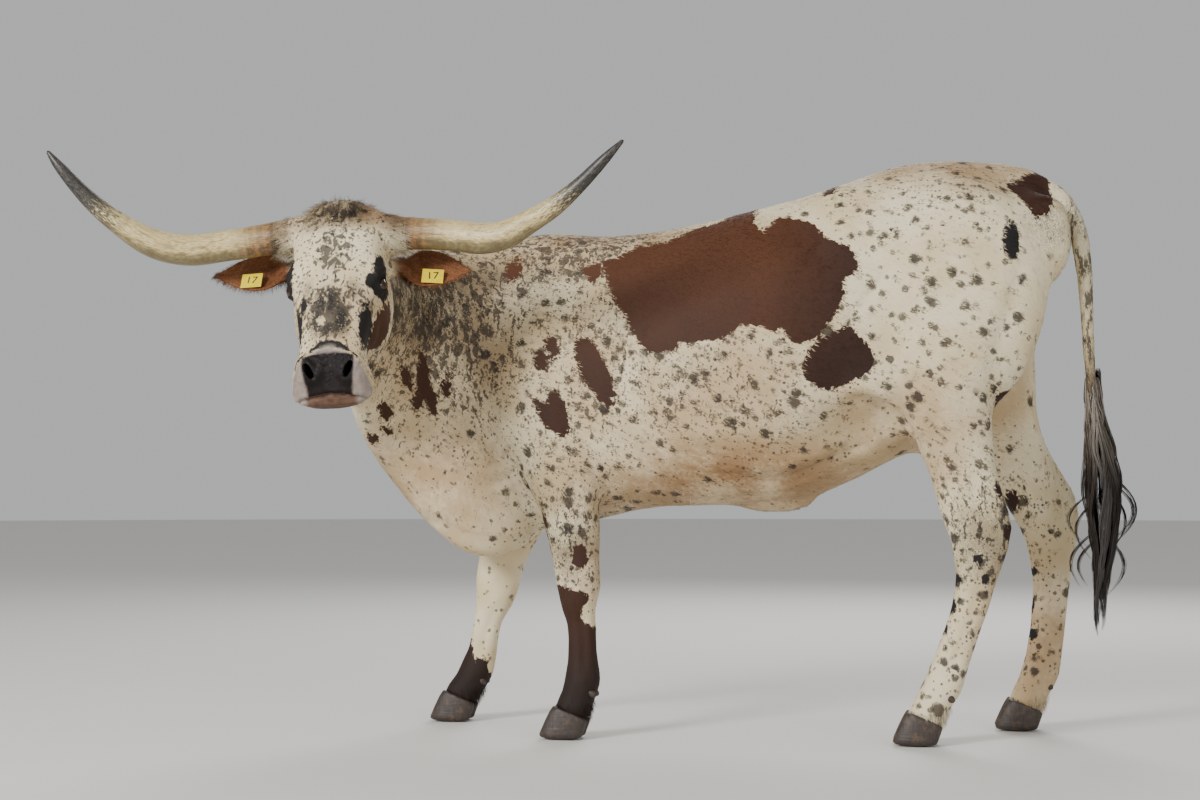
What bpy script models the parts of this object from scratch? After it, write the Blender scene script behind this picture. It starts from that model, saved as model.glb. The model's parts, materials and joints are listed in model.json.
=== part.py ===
"""A Texas longhorn steer, life size, standing with its head turned to its left.

Metres, +Z up. The steer faces -X, its left side faces -Y, and the origin is on the floor
under the middle of its bounding box. Every size below is written in the body frame, whose
plane y = 0 holds the spine, and main() moves the finished pieces by BODY_SHIFT.
"""

import math
import random

import bmesh
import bpy
import numpy as np
from mathutils import Matrix, Vector

BODY_SHIFT = Vector((-0.0621, 0.2669, 0.0))

# Meshing of the flesh, and the gap that parts touching pieces.
BODY_VOXEL = 0.0075
HEAD_VOXEL = 0.0032
GAP = 0.0003
BODY_TRIANGLES = 6200
HEAD_TRIANGLES = 3500
RING_POINTS = 28
STEPS_PER_STATION = 5

# Trunk stations: x, top of the back, underline, half width, height of the widest level
# as a share of the depth, roof and keel (2 is an ellipse, more is squarer).
TRUNK = (
    (-0.36, 1.080, 0.600, 0.110, 0.50, 2.0, 2.0),
    (-0.27, 1.240, 0.530, 0.175, 0.48, 2.0, 2.0),
    (-0.14, 1.312, 0.520, 0.215, 0.46, 1.9, 2.1),
    (0.00, 1.304, 0.550, 0.240, 0.45, 1.9, 2.2),
    (0.14, 1.310, 0.580, 0.266, 0.44, 2.0, 2.2),
    (0.28, 1.334, 0.586, 0.292, 0.43, 2.0, 2.2),
    (0.42, 1.366, 0.590, 0.302, 0.43, 2.0, 2.2),
    (0.54, 1.395, 0.605, 0.290, 0.44, 2.0, 2.1),
    (0.65, 1.430, 0.645, 0.262, 0.46, 2.1, 2.0),
    (0.77, 1.462, 0.705, 0.230, 0.50, 2.2, 2.0),
    (0.88, 1.480, 0.760, 0.215, 0.52, 2.2, 2.0),
    (0.98, 1.478, 0.830, 0.185, 0.54, 2.1, 2.0),
    (1.08, 1.455, 0.920, 0.130, 0.56, 2.0, 2.0),
    (1.14, 1.415, 1.020, 0.075, 0.56, 2.0, 2.0),
)

# Neck stations: centre, half width, rise to the crest, drop to the throat.
NECK = (
    ((0.02, 0.000, 0.960), 0.200, 0.300, 0.360),
    ((-0.20, -0.010, 0.970), 0.180, 0.325, 0.360),
    ((-0.34, -0.050, 1.005), 0.150, 0.270, 0.320),
    ((-0.45, -0.150, 1.050), 0.128, 0.218, 0.260),
    ((-0.52, -0.280, 1.085), 0.118, 0.175, 0.210),
    ((-0.548, -0.410, 1.110), 0.112, 0.150, 0.170),
    ((-0.550, -0.500, 1.125), 0.100, 0.130, 0.135),
)

# Dewlap along the under edge of the neck: centre, half width, rise, drop.
DEWLAP = (
    ((-0.548, -0.500, 0.985), 0.045, 0.080, 0.050),
    ((-0.552, -0.400, 0.925), 0.045, 0.100, 0.075),
    ((-0.560, -0.270, 0.845), 0.045, 0.120, 0.080),
    ((-0.535, -0.140, 0.755), 0.060, 0.140, 0.085),
    ((-0.455, -0.060, 0.660), 0.085, 0.160, 0.115),
    ((-0.350, -0.025, 0.605), 0.120, 0.160, 0.145),
    ((-0.240, -0.010, 0.600), 0.130, 0.150, 0.140),
    ((-0.130, 0.000, 0.630), 0.105, 0.120, 0.095),
)

# Tail stations: centre and radius, from the croup to where its long hair begins.
TAIL = (
    ((1.040, 0.0, 1.440), 0.042),
    ((1.110, 0.0, 1.428), 0.038),
    ((1.165, 0.0, 1.396), 0.034),
    ((1.205, 0.0, 1.345), 0.030),
    ((1.231, 0.0, 1.290), 0.027),
    ((1.244, 0.0, 1.220), 0.025),
    ((1.251, 0.0, 1.140), 0.022),
    ((1.256, 0.0, 1.010), 0.019),
    ((1.263, 0.0, 0.896), 0.0175),
    ((1.272, 0.0, 0.790), 0.0185),
)
SWITCH_TOP = 0.800

# The tail's long hair, downwards: x of its middle, height, core radius, reach of its locks.
SWITCH = (
    (1.272, 0.800, 0.0183, 0.020),
    (1.277, 0.740, 0.0170, 0.030),
    (1.284, 0.680, 0.0170, 0.039),
    (1.290, 0.600, 0.0180, 0.051),
    (1.292, 0.520, 0.0170, 0.050),
    (1.286, 0.430, 0.0120, 0.037),
    (1.278, 0.360, 0.0060, 0.028),
    (1.275, 0.300, 0.0000, 0.018),
    (1.271, 0.230, 0.0000, 0.004),
)
# Tiers of locks: where they root, how long they hang, how many stand round the core.
LOCK_TIERS = (
    (0.785, 0.250, 4),
    (0.705, 0.260, 4),
    (0.620, 0.255, 5),
    (0.530, 0.240, 4),
    (0.455, 0.215, 4),
)
LOCK_HALF_WIDTH = 0.0200
LOCK_THICKNESS = 0.0045
# Along a lock: share of its length, of its width and of its thickness.
LOCK_SHAPE = (
    (0.00, 0.55, 1.10),
    (0.30, 1.00, 1.00),
    (0.66, 0.72, 0.80),
    (1.00, 0.05, 0.20),
)

# Legs, from the body down: x, z, half width across, half depth fore and aft.
FORELEG_LEFT = (
    (-0.160, 0.900, 0.070, 0.130),
    (-0.090, 0.780, 0.078, 0.125),
    (-0.070, 0.690, 0.074, 0.108),
    (-0.052, 0.600, 0.062, 0.083),
    (-0.040, 0.520, 0.052, 0.071),
    (-0.033, 0.450, 0.047, 0.062),
    (-0.026, 0.385, 0.050, 0.058),
    (-0.026, 0.340, 0.044, 0.048),
    (-0.019, 0.290, 0.034, 0.039),
    (-0.016, 0.210, 0.034, 0.040),
    (-0.016, 0.150, 0.043, 0.048),
    (-0.027, 0.110, 0.043, 0.045),
    (-0.040, 0.075, 0.046, 0.048),
    (-0.052, 0.035, 0.046, 0.048),
)
FORELEG_RIGHT = (
    (-0.170, 0.900, 0.070, 0.130),
    (-0.165, 0.780, 0.078, 0.125),
    (-0.195, 0.690, 0.074, 0.108),
    (-0.232, 0.600, 0.064, 0.088),
    (-0.268, 0.520, 0.054, 0.076),
    (-0.295, 0.445, 0.048, 0.067),
    (-0.308, 0.380, 0.050, 0.063),
    (-0.318, 0.330, 0.044, 0.054),
    (-0.335, 0.275, 0.034, 0.041),
    (-0.348, 0.200, 0.034, 0.041),
    (-0.363, 0.145, 0.043, 0.048),
    (-0.384, 0.105, 0.043, 0.045),
    (-0.404, 0.075, 0.046, 0.048),
    (-0.424, 0.035, 0.046, 0.048),
)
HINDLEG_LEFT = (
    (0.860, 1.150, 0.110, 0.215),
    (0.880, 1.000, 0.115, 0.195),
    (0.888, 0.900, 0.104, 0.146),
    (0.898, 0.830, 0.090, 0.115),
    (0.922, 0.750, 0.074, 0.104),
    (0.938, 0.680, 0.062, 0.090),
    (0.952, 0.620, 0.052, 0.087),
    (0.970, 0.565, 0.046, 0.086),
    (0.979, 0.522, 0.045, 0.080),
    (0.976, 0.470, 0.045, 0.067),
    (0.968, 0.410, 0.040, 0.053),
    (0.954, 0.345, 0.036, 0.047),
    (0.931, 0.275, 0.035, 0.045),
    (0.904, 0.200, 0.036, 0.047),
    (0.887, 0.152, 0.043, 0.050),
    (0.864, 0.112, 0.043, 0.046),
    (0.846, 0.075, 0.046, 0.048),
    (0.828, 0.035, 0.046, 0.048),
)
HINDLEG_RIGHT = (
    (0.900, 1.150, 0.110, 0.215),
    (0.945, 1.000, 0.115, 0.195),
    (0.990, 0.900, 0.104, 0.160),
    (1.015, 0.830, 0.090, 0.135),
    (1.050, 0.760, 0.074, 0.110),
    (1.090, 0.690, 0.062, 0.093),
    (1.125, 0.630, 0.052, 0.088),
    (1.152, 0.580, 0.046, 0.086),
    (1.164, 0.535, 0.045, 0.078),
    (1.168, 0.480, 0.045, 0.064),
    (1.168, 0.410, 0.040, 0.052),
    (1.165, 0.345, 0.036, 0.048),
    (1.158, 0.275, 0.035, 0.047),
    (1.148, 0.200, 0.036, 0.048),
    (1.138, 0.152, 0.043, 0.050),
    (1.120, 0.112, 0.043, 0.046),
    (1.104, 0.075, 0.046, 0.048),
    (1.090, 0.035, 0.046, 0.048),
)
# Each leg's stations, and how far out it stands at its top and at its foot.
LEGS = {
    "leg_front_left": (FORELEG_LEFT, -0.175, -0.185),
    "leg_front_right": (FORELEG_RIGHT, 0.175, 0.160),
    "leg_hind_left": (HINDLEG_LEFT, -0.130, -0.185),
    "leg_hind_right": (HINDLEG_RIGHT, 0.130, 0.185),
}

# Muscle and bone that stand out, on both sides: centre, radii, lean from the vertical.
MUSCLES = (
    ((-0.020, 0.095, 1.160), (0.110, 0.070, 0.130), 25),
    ((-0.120, 0.148, 1.010), (0.120, 0.075, 0.170), 33),
    ((-0.215, 0.135, 0.900), (0.080, 0.075, 0.110), 0),
    ((-0.040, 0.178, 0.900), (0.130, 0.066, 0.130), 10),
    ((0.010, 0.165, 0.790), (0.060, 0.055, 0.080), 0),
    ((-0.130, 0.150, 0.760), (0.085, 0.070, 0.110), 0),
    ((0.668, 0.222, 1.426), (0.062, 0.052, 0.062), 0),
    ((0.920, 0.130, 1.180), (0.230, 0.115, 0.240), 0),
    ((0.850, 0.165, 1.000), (0.150, 0.080, 0.190), -8),
    ((1.045, 0.115, 1.080), (0.110, 0.080, 0.260), 12),
    ((1.142, 0.096, 1.270), (0.072, 0.055, 0.125), -4),
    ((0.710, 0.215, 0.900), (0.130, 0.040, 0.045), 10),
)
# Forms on the midline.
MIDLINE = (
    ((0.900, 0.0, 1.440), (0.200, 0.060, 0.044), 0),
    ((-0.150, 0.0, 1.255), (0.120, 0.050, 0.065), 0),
    ((0.455, 0.0, 0.604), (0.120, 0.030, 0.038), 0),
    ((0.842, 0.0, 0.735), (0.024, 0.022, 0.045), 0),
)

# Head: turned to the left from straight ahead, face tipped from the vertical, left side up.
HEAD_TURN = math.radians(94.5)
FACE_TIP = math.radians(34.0)
HEAD_ROLL = math.radians(3.8)
POLL = Vector((-0.544, -0.592, 1.309))

# Head stations: distance down the face, half width, level of the widest line,
# rise to the face, drop to the jaw, roof, keel.
HEAD = (
    (-0.042, 0.060, -0.085, 0.050, 0.050, 2.0, 2.0),
    (-0.020, 0.100, -0.070, 0.062, 0.085, 2.2, 2.0),
    (0.030, 0.116, -0.060, 0.068, 0.130, 2.4, 2.1),
    (0.086, 0.112, -0.055, 0.070, 0.155, 2.5, 2.3),
    (0.143, 0.108, -0.050, 0.066, 0.170, 2.6, 2.6),
    (0.191, 0.104, -0.050, 0.062, 0.175, 2.7, 2.8),
    (0.239, 0.098, -0.050, 0.056, 0.165, 2.6, 2.8),
    (0.296, 0.089, -0.052, 0.050, 0.138, 2.4, 2.6),
    (0.353, 0.080, -0.056, 0.046, 0.106, 2.3, 2.4),
    (0.401, 0.079, -0.062, 0.048, 0.084, 2.3, 2.3),
    (0.435, 0.086, -0.070, 0.048, 0.072, 2.5, 2.3),
    (0.462, 0.092, -0.080, 0.046, 0.060, 2.6, 2.3),
    (0.485, 0.092, -0.088, 0.037, 0.048, 2.6, 2.4),
    (0.503, 0.082, -0.095, 0.026, 0.032, 2.6, 2.4),
    (0.515, 0.056, -0.100, 0.014, 0.018, 2.4, 2.2),
)
# Forms of the head on both sides, in its own frame: to the side, down the face, out of it.
HEAD_PAIRS = (
    ((0.085, 0.186, -0.040), (0.036, 0.052, 0.038)),
    ((0.076, 0.205, -0.138), (0.042, 0.120, 0.085)),
    ((0.068, 0.290, -0.100), (0.028, 0.070, 0.035)),
    ((0.060, 0.462, -0.082), (0.036, 0.042, 0.042)),
    ((0.050, 0.448, -0.045), (0.030, 0.034, 0.026)),
    ((0.095, 0.040, -0.058), (0.055, 0.052, 0.052)),
)
HEAD_MIDLINE = (
    ((0.0, 0.000, -0.035), (0.085, 0.036, 0.050)),
    ((0.0, 0.446, -0.128), (0.056, 0.046, 0.024)),
)
NOSTRIL = (0.049, 0.457, -0.045)
NOSTRIL_RADII = (0.025, 0.0112, 0.026)
# The mouth line round the muzzle's left half, from the corner to the front.
MOUTH = (
    (0.080, 0.408, -0.114),
    (0.085, 0.440, -0.109),
    (0.085, 0.470, -0.101),
    (0.073, 0.494, -0.090),
    (0.042, 0.506, -0.079),
    (0.000, 0.509, -0.074),
)
MOUTH_DEPTH = 0.013
MOUTH_GAPE = 0.0036
EYE = (0.100, 0.212, -0.050)
EYE_RADIUS = 0.0200
LID_RADIUS = 0.0245

# Horns in the head's frame: centre and radius, from the base to the tip.
HORN_LEFT = (
    ((0.165, 0.043, -0.064), 0.0382),
    ((0.269, 0.059, -0.064), 0.0372),
    ((0.338, 0.080, -0.060), 0.0378),
    ((0.401, 0.089, -0.042), 0.0344),
    ((0.465, 0.083, -0.008), 0.0283),
    ((0.527, 0.071, 0.025), 0.0234),
    ((0.591, 0.046, 0.065), 0.0175),
    ((0.654, 0.015, 0.111), 0.0125),
    ((0.702, -0.017, 0.138), 0.0040),
)
HORN_RIGHT = (
    ((-0.165, 0.032, -0.058), 0.0386),
    ((-0.284, 0.046, -0.055), 0.0374),
    ((-0.370, 0.062, -0.042), 0.0380),
    ((-0.451, 0.062, -0.006), 0.0347),
    ((-0.528, 0.033, 0.050), 0.0262),
    ((-0.585, -0.002, 0.098), 0.0202),
    ((-0.641, -0.052, 0.156), 0.0132),
    ((-0.670, -0.085, 0.184), 0.0040),
)
# Ears in the head's frame: root, tip, and which way the cup opens.
EAR_LEFT = ((0.125, 0.084, -0.140), (0.296, 0.092, -0.165))
EAR_RIGHT = ((-0.135, 0.072, -0.138), (-0.330, 0.062, -0.150))
EAR_HALF_WIDTH = 0.056
EAR_THICKNESS = 0.006
EAR_ROOT_SHARE = 0.06

# Ear tags: plate, the stud's pin, and their place on the ear.
TAG_WIDTH = 0.052
TAG_HEIGHT = 0.042
TAG_THICKNESS = 0.0020
TAG_PIN = 0.0035
TAG_ALONG = 0.50
TAG_DROP = 0.016
TAG_PLANE = 0.0098

# Feet: centre of the foot at the coronet, which slopes down to the heel.
CORONET = 0.066
CORONET_SLOPE = math.tan(math.radians(20.0))
CLAW_CLEFT = 0.004
SOLE_HALF_LENGTH = 0.058
SOLE_HALF_WIDTH = 0.0255


def clear_scene():
    for obj in list(bpy.data.objects):
        bpy.data.objects.remove(obj, do_unlink=True)


def catmull_rom(rows, steps):
    """Rows of numbers, with smooth rows put between them."""
    count = len(rows)
    made = []
    for i in range(count - 1):
        before = rows[max(i - 1, 0)]
        first = rows[i]
        second = rows[i + 1]
        after = rows[min(i + 2, count - 1)]
        for step in range(steps):
            t = step / steps
            made.append(
                tuple(
                    0.5
                    * (
                        2 * b
                        + (c - a) * t
                        + (2 * a - 5 * b + 4 * c - d) * t**2
                        + (3 * b - a - 3 * c + d) * t**3
                    )
                    for a, b, c, d in zip(before, first, second, after)
                )
            )
    made.append(tuple(rows[-1]))
    return made


def superellipse(angle, half_width, rise, drop, roof, keel):
    """A point of a section: out to the side, and up or down."""
    c = math.cos(angle)
    s = math.sin(angle)
    power = roof if s >= 0 else keel
    height = rise if s >= 0 else drop
    out = half_width * math.copysign(abs(c) ** (2 / power), c)
    return out, height * math.copysign(abs(s) ** (2 / power), s)


def mesh_object(name, bm):
    mesh = bpy.data.meshes.new(name)
    bm.to_mesh(mesh)
    bm.free()
    obj = bpy.data.objects.new(name, mesh)
    bpy.context.scene.collection.objects.link(obj)
    return obj


def loft(name, rings):
    """A closed mesh through rings of points, with a fan closing each end."""
    bm = bmesh.new()
    loops = [[bm.verts.new(point) for point in ring] for ring in rings]
    count = len(loops[0])
    for near, far in zip(loops, loops[1:]):
        for i in range(count):
            j = (i + 1) % count
            bm.faces.new((near[i], near[j], far[j], far[i]))
    for loop, flip in ((loops[0], True), (loops[-1], False)):
        middle = bm.verts.new(sum((v.co for v in loop), Vector()) / count)
        for i in range(count):
            j = (i + 1) % count
            corners = (loop[i], loop[j], middle)
            bm.faces.new(corners[::-1] if flip else corners)
    bmesh.ops.triangulate(bm, faces=bm.faces)
    if bm.calc_volume(signed=True) < 0:
        bmesh.ops.reverse_faces(bm, faces=bm.faces)
    return mesh_object(name, bm)


def section(centre, side, up, sizes, count=RING_POINTS):
    points = []
    for i in range(count):
        out, lift = superellipse(2 * math.pi * i / count, *sizes)
        points.append(centre + side * out + up * lift)
    return points


def ball(name, centre, radii, axes=None, fineness=3):
    """An ellipsoid, along the world's axes or the three given."""
    bm = bmesh.new()
    bmesh.ops.create_icosphere(bm, subdivisions=fineness, radius=1.0)
    turn = Matrix.Identity(3) if axes is None else Matrix(axes).transposed()
    for v in bm.verts:
        v.co = centre + turn @ Vector([x * r for x, r in zip(v.co, radii)])
    if bm.calc_volume(signed=True) < 0:
        bmesh.ops.reverse_faces(bm, faces=bm.faces)
    return mesh_object(name, bm)


def leaning_ball(name, centre, radii, lean):
    """An ellipsoid whose long axis leans back from the vertical by some degrees."""
    angle = math.radians(lean)
    ahead = Vector((math.cos(angle), 0, -math.sin(angle)))
    up = Vector((math.sin(angle), 0, math.cos(angle)))
    return ball(name, Vector(centre), radii, (ahead, Vector((0, 1, 0)), up))


def trunk():
    rings = []
    for x, top, bottom, half, share, roof, keel in catmull_rom(TRUNK, STEPS_PER_STATION):
        level = bottom + (top - bottom) * share
        sizes = (half, top - level, level - bottom, roof, keel)
        rings.append(section(Vector((x, 0, level)), Vector((0, 1, 0)), Vector((0, 0, 1)), sizes))
    return loft("trunk", rings)


def upright_path(name, stations, roof=2.0, keel=2.0):
    """A loft whose sections stand across a level-ish path, their rise kept upright."""
    rows = catmull_rom([(*centre, *sizes) for centre, *sizes in stations], STEPS_PER_STATION)
    centres = [Vector(row[:3]) for row in rows]
    rings = []
    for i, row in enumerate(rows):
        run = centres[min(i + 1, len(rows) - 1)] - centres[max(i - 1, 0)]
        run.z = 0
        side = run.normalized().cross(Vector((0, 0, 1)))
        rings.append(section(centres[i], side, Vector((0, 0, 1)), (*row[3:], roof, keel)))
    return loft(name, rings)


def round_path(name, stations, count=16, steps=STEPS_PER_STATION, across=Vector((0, 1, 0))):
    """A loft of round sections along any path that doesn't run along the across direction."""
    rows = catmull_rom([(*centre, radius) for centre, radius in stations], steps)
    centres = [Vector(row[:3]) for row in rows]
    rings = []
    for i, row in enumerate(rows):
        run = centres[min(i + 1, len(rows) - 1)] - centres[max(i - 1, 0)]
        other = run.cross(across).normalized()
        side = other.cross(run).normalized()
        radius = row[3]
        rings.append(section(centres[i], side, other, (radius, radius, radius, 2, 2), count))
    return loft(name, rings)


def leg(name):
    stations, y_top, y_foot = LEGS[name]
    rows = catmull_rom(stations, STEPS_PER_STATION)
    z_top = stations[0][1]
    rings = []
    for i, (x, z, across, depth) in enumerate(rows):
        before = rows[max(i - 1, 0)]
        after = rows[min(i + 1, len(rows) - 1)]
        run = Vector((after[0] - before[0], 0, after[1] - before[1])).normalized()
        ahead = run.cross(Vector((0, 1, 0)))
        y = y_foot + (y_top - y_foot) * z / z_top
        sizes = (across, depth, depth, 2.1, 2.1)
        rings.append(section(Vector((x, y, z)), Vector((0, 1, 0)), ahead, sizes, 20))
    return loft(name, rings)


def head_axes():
    """The head's own frame: to its left, down the face, out of the forehead."""
    ahead = Vector((-math.cos(HEAD_TURN), -math.sin(HEAD_TURN), 0))
    left = Vector((-ahead.y, ahead.x, 0))
    down_face = -Vector((0, 0, math.cos(FACE_TIP))) + ahead * math.sin(FACE_TIP)
    out = Vector((0, 0, math.sin(FACE_TIP))) + ahead * math.cos(FACE_TIP)
    roll = Matrix.Rotation(HEAD_ROLL, 3, ahead)
    return roll @ left, roll @ down_face, roll @ out


def head_point(a, b, c):
    left, down_face, out = head_axes()
    return POLL + left * a + down_face * b + out * c


def head_ball(name, place, radii, fineness=3):
    return ball(name, head_point(*place), radii, head_axes(), fineness)


def mirrored(place, side):
    return (place[0] * side, place[1], place[2])


def skull_pieces():
    left, _, out = head_axes()
    rings = []
    for b, half, level, rise, drop, roof, keel in catmull_rom(HEAD, STEPS_PER_STATION):
        sizes = (half, rise, drop, roof, keel)
        rings.append(section(head_point(0, b, level), left, out, sizes))
    made = [loft("skull", rings)]
    for side in (1, -1):
        for place, radii in HEAD_PAIRS:
            made.append(head_ball("form", mirrored(place, side), radii))
        made.append(head_ball("lids", mirrored(EYE, side), (LID_RADIUS,) * 3))
    for place, radii in HEAD_MIDLINE:
        made.append(head_ball("form", place, radii))
    for horn in (HORN_LEFT, HORN_RIGHT):
        made.append(horn_stub(horn))
    for ear in (EAR_LEFT, EAR_RIGHT):
        made.append(ear_stub(ear))
    return made


def horn_stub(horn):
    """The haired stump that a horn grows from, run on past the horn's base to be cut there."""
    base = Vector(horn[0][0])
    second = Vector(horn[1][0])
    inner = Vector((base.x * 0.35, base.y + 0.005, base.z))
    outer = base + (second - base) * 0.35
    radius = horn[0][1]
    stations = []
    for t, r in ((0.0, 0.055), (0.5, 0.052), (0.8, radius + 0.006), (1.0, radius + 0.002)):
        point = inner.lerp(base, t)
        stations.append((head_point(*point), r))
    stations.append((head_point(*outer), radius))
    return round_path("stub", stations, 18)


def ear_stub(ear):
    root = Vector(ear[0])
    tip = Vector(ear[1])
    inner = root + (root - tip) * 0.30
    outer = root + (tip - root) * 0.22
    return round_path(
        "ear stub", [(head_point(*inner), 0.026), (head_point(*root), 0.024), (head_point(*outer), 0.022)]
    )


def dewlap_and_neck():
    return [upright_path("neck", NECK, 2.2, 1.9), upright_path("dewlap", DEWLAP)]


def body_pieces():
    made = [trunk(), round_path("tail", TAIL)]
    made += [leg(name) for name in LEGS]
    for place, radii, lean in MUSCLES:
        for side in (1, -1):
            made.append(leaning_ball("muscle", (place[0], place[1] * side, place[2]), radii, lean))
    for place, radii, lean in MIDLINE:
        made.append(leaning_ball("form", place, radii, lean))
    return made


def remeshed(name, pieces, voxel):
    """The pieces as one surface; they are removed."""
    bm = bmesh.new()
    for obj in pieces:
        bm.from_mesh(obj.data)
        bpy.data.objects.remove(obj)
    joined = mesh_object(name, bm)
    remesh = joined.modifiers.new("one surface", "REMESH")
    remesh.mode = "VOXEL"
    remesh.voxel_size = voxel
    apply_modifiers(joined)
    return joined


def apply_modifiers(obj):
    graph = bpy.context.evaluated_depsgraph_get()
    graph.update()
    mesh = bpy.data.meshes.new_from_object(obj.evaluated_get(graph))
    obj.modifiers.clear()
    obj.data = mesh


def vertices_of(mesh):
    points = np.empty(len(mesh.vertices) * 3)
    mesh.vertices.foreach_get("co", points)
    return points.reshape(-1, 3)


def edges_of(mesh):
    ends = np.empty(len(mesh.edges) * 2, dtype=np.int32)
    mesh.edges.foreach_get("vertices", ends)
    return ends.reshape(-1, 2)


def relax(obj, rounds, share):
    """Moves each vertex towards the mean of its neighbours, by the share given for it."""
    points = vertices_of(obj.data)
    ends = edges_of(obj.data)
    first = np.concatenate([ends[:, 0], ends[:, 1]])
    second = np.concatenate([ends[:, 1], ends[:, 0]])
    count = np.bincount(first, minlength=len(points))
    step = share(points)[:, None]
    for _ in range(rounds):
        sums = [np.bincount(first, points[second, k], len(points)) for k in range(3)]
        points = points + step * (np.stack(sums, axis=1) / count[:, None] - points)
    obj.data.vertices.foreach_set("co", points.ravel())
    obj.data.update()


def smoothstep(low, high, values):
    t = np.clip((values - low) / (high - low), 0, 1)
    return t * t * (3 - 2 * t)


def body_share(points):
    """Strong on the trunk and neck, light on the lower legs, the tail and the head."""
    x, y, z = points.T
    share = 0.04 + 0.56 * smoothstep(0.50, 0.85, z)
    share *= 1 - 0.9 * smoothstep(1.15, 1.20, x)
    return share * (1 - 0.5 * smoothstep(-0.44, -0.50, y))


def head_coordinates(points):
    axes = np.array([list(axis) for axis in head_axes()])
    return (points - np.array(POLL)) @ axes.T


def head_share(points):
    """Strong on the neck behind the head, light on the head itself."""
    return 0.60 - 0.22 * smoothstep(-0.44, -0.50, points[:, 1])


def normals_of(mesh):
    normals = np.empty(len(mesh.vertices) * 3)
    mesh.vertices.foreach_get("normal", normals)
    return normals.reshape(-1, 3)


def bump(distance, width):
    """1 at the middle, falling smoothly to 0 at the width."""
    t = np.clip(1 - (distance / width) ** 2, 0, 1)
    return t * t


def sculpt_head(obj):
    """Mouth line, lips, nose pad, nostril rims and cheek ridges, pressed into the fine head."""
    points = vertices_of(obj.data)
    normals = normals_of(obj.data)
    a, b, c = head_coordinates(points).T
    push = np.zeros(len(points))
    mouth = -0.110 - 0.12 * np.clip(0.505 - b, 0, None)
    front = smoothstep(0.400, 0.425, b)
    push += 0.004 * bump(c - mouth - 0.013, 0.012) * front
    push += 0.002 * bump(c - mouth + 0.012, 0.010) * front
    for side in (1, -1):
        across, along, depth = nostril_coordinates(points, side)
        ring = np.hypot(across / NOSTRIL_RADII[1], along / NOSTRIL_RADII[0])
        push += 0.0035 * bump(ring - 1.35, 0.5) * bump(depth, 0.030)
        crest = np.hypot((a * side - 0.088) * 0.8, c + 0.085)
        push += 0.004 * bump(crest, 0.025) * bump(b - 0.290, 0.090)
    push -= 0.003 * bump(a, 0.040) * bump(b - 0.120, 0.060) * smoothstep(-0.03, 0.0, c)
    obj.data.vertices.foreach_set("co", (points + normals * push[:, None]).ravel())
    obj.data.update()


def nostril_axes(side):
    """The nostril's long way, its short way and its depth, in the head's own frame."""
    inward = np.array([-0.25 * side, 0.60, 0.66])
    inward = inward / np.linalg.norm(inward)
    long_way = np.array([-0.42 * side, 0.62, -0.66])
    long_way = long_way - inward * long_way.dot(inward)
    long_way = long_way / np.linalg.norm(long_way)
    return long_way, np.cross(inward, long_way), inward


def nostril_coordinates(points, side):
    """How far each point is from the nostril's middle, across it, along it and in depth."""
    long_way, short_way, depth = nostril_axes(side)
    offset = head_coordinates(points) - np.array(mirrored(NOSTRIL, side))
    return offset @ short_way, offset @ long_way, offset @ depth


def mouth_cutter():
    """A thin flat tube round the muzzle, which parts the lips."""
    half = list(MOUTH)
    path = half + [mirrored(place, -1) for place in reversed(half[:-1])]
    rows = catmull_rom(path, 2)
    out = head_axes()[2]
    rings = []
    for i, row in enumerate(rows):
        run = head_point(*rows[min(i + 1, len(rows) - 1)]) - head_point(*rows[max(i - 1, 0)])
        away = run.cross(out).normalized()
        end = min(i, len(rows) - 1 - i) / 2
        share = 0.35 + 0.65 * min(end, 1.0)
        sizes = (MOUTH_DEPTH * share, MOUTH_GAPE * share, MOUTH_GAPE * share, 2, 2)
        rings.append(section(head_point(*row), away, out, sizes, 6))
    return loft("cutter", rings)


def nostril_cutter(side):
    frame = head_axes()
    axes = []
    for way in nostril_axes(side):
        axes.append(sum((frame[k] * float(way[k]) for k in range(3)), Vector()))
    return ball("cutter", head_point(*mirrored(NOSTRIL, side)), NOSTRIL_RADII, axes, 2)


def sculpt_body(obj):
    """Folds of the dewlap and brisket, the hollow before the hips, and the flank's hollow."""
    points = vertices_of(obj.data)
    normals = normals_of(obj.data)
    x, y, z = points.T
    push = np.zeros(len(points))
    low = smoothstep(0.78, 0.64, z) * smoothstep(-0.06, -0.16, x) * smoothstep(-0.52, -0.42, x)
    slant = z + 0.25 * x
    inside = smoothstep(0.05, 0.08, np.abs(y)) * smoothstep(0.125, 0.110, np.abs(y))
    push += 0.004 * np.sin(slant * 2 * math.pi / 0.075) * low * inside
    outer = smoothstep(0.10, 0.18, np.abs(y))
    hollow = np.hypot((x - 0.55) / 0.15, (z - 1.29) / 0.085)
    push -= 0.012 * bump(hollow, 1.0) * outer
    flank = np.hypot((x - 0.68) / 0.17, (z - 0.775) / 0.095)
    push -= 0.030 * bump(flank, 1.0) * outer
    blade = np.abs((x - 0.06) + 0.42 * (z - 1.0))
    push -= 0.007 * bump(blade, 0.060) * bump(z - 1.02, 0.24) * outer
    obj.data.vertices.foreach_set("co", (points + normals * push[:, None]).ravel())
    obj.data.update()


def decimate(obj, triangles):
    count = sum(len(face.vertices) - 2 for face in obj.data.polygons)
    modifier = obj.modifiers.new("coarser", "DECIMATE")
    modifier.ratio = triangles / count
    modifier.use_collapse_triangulate = True
    apply_modifiers(obj)


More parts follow.
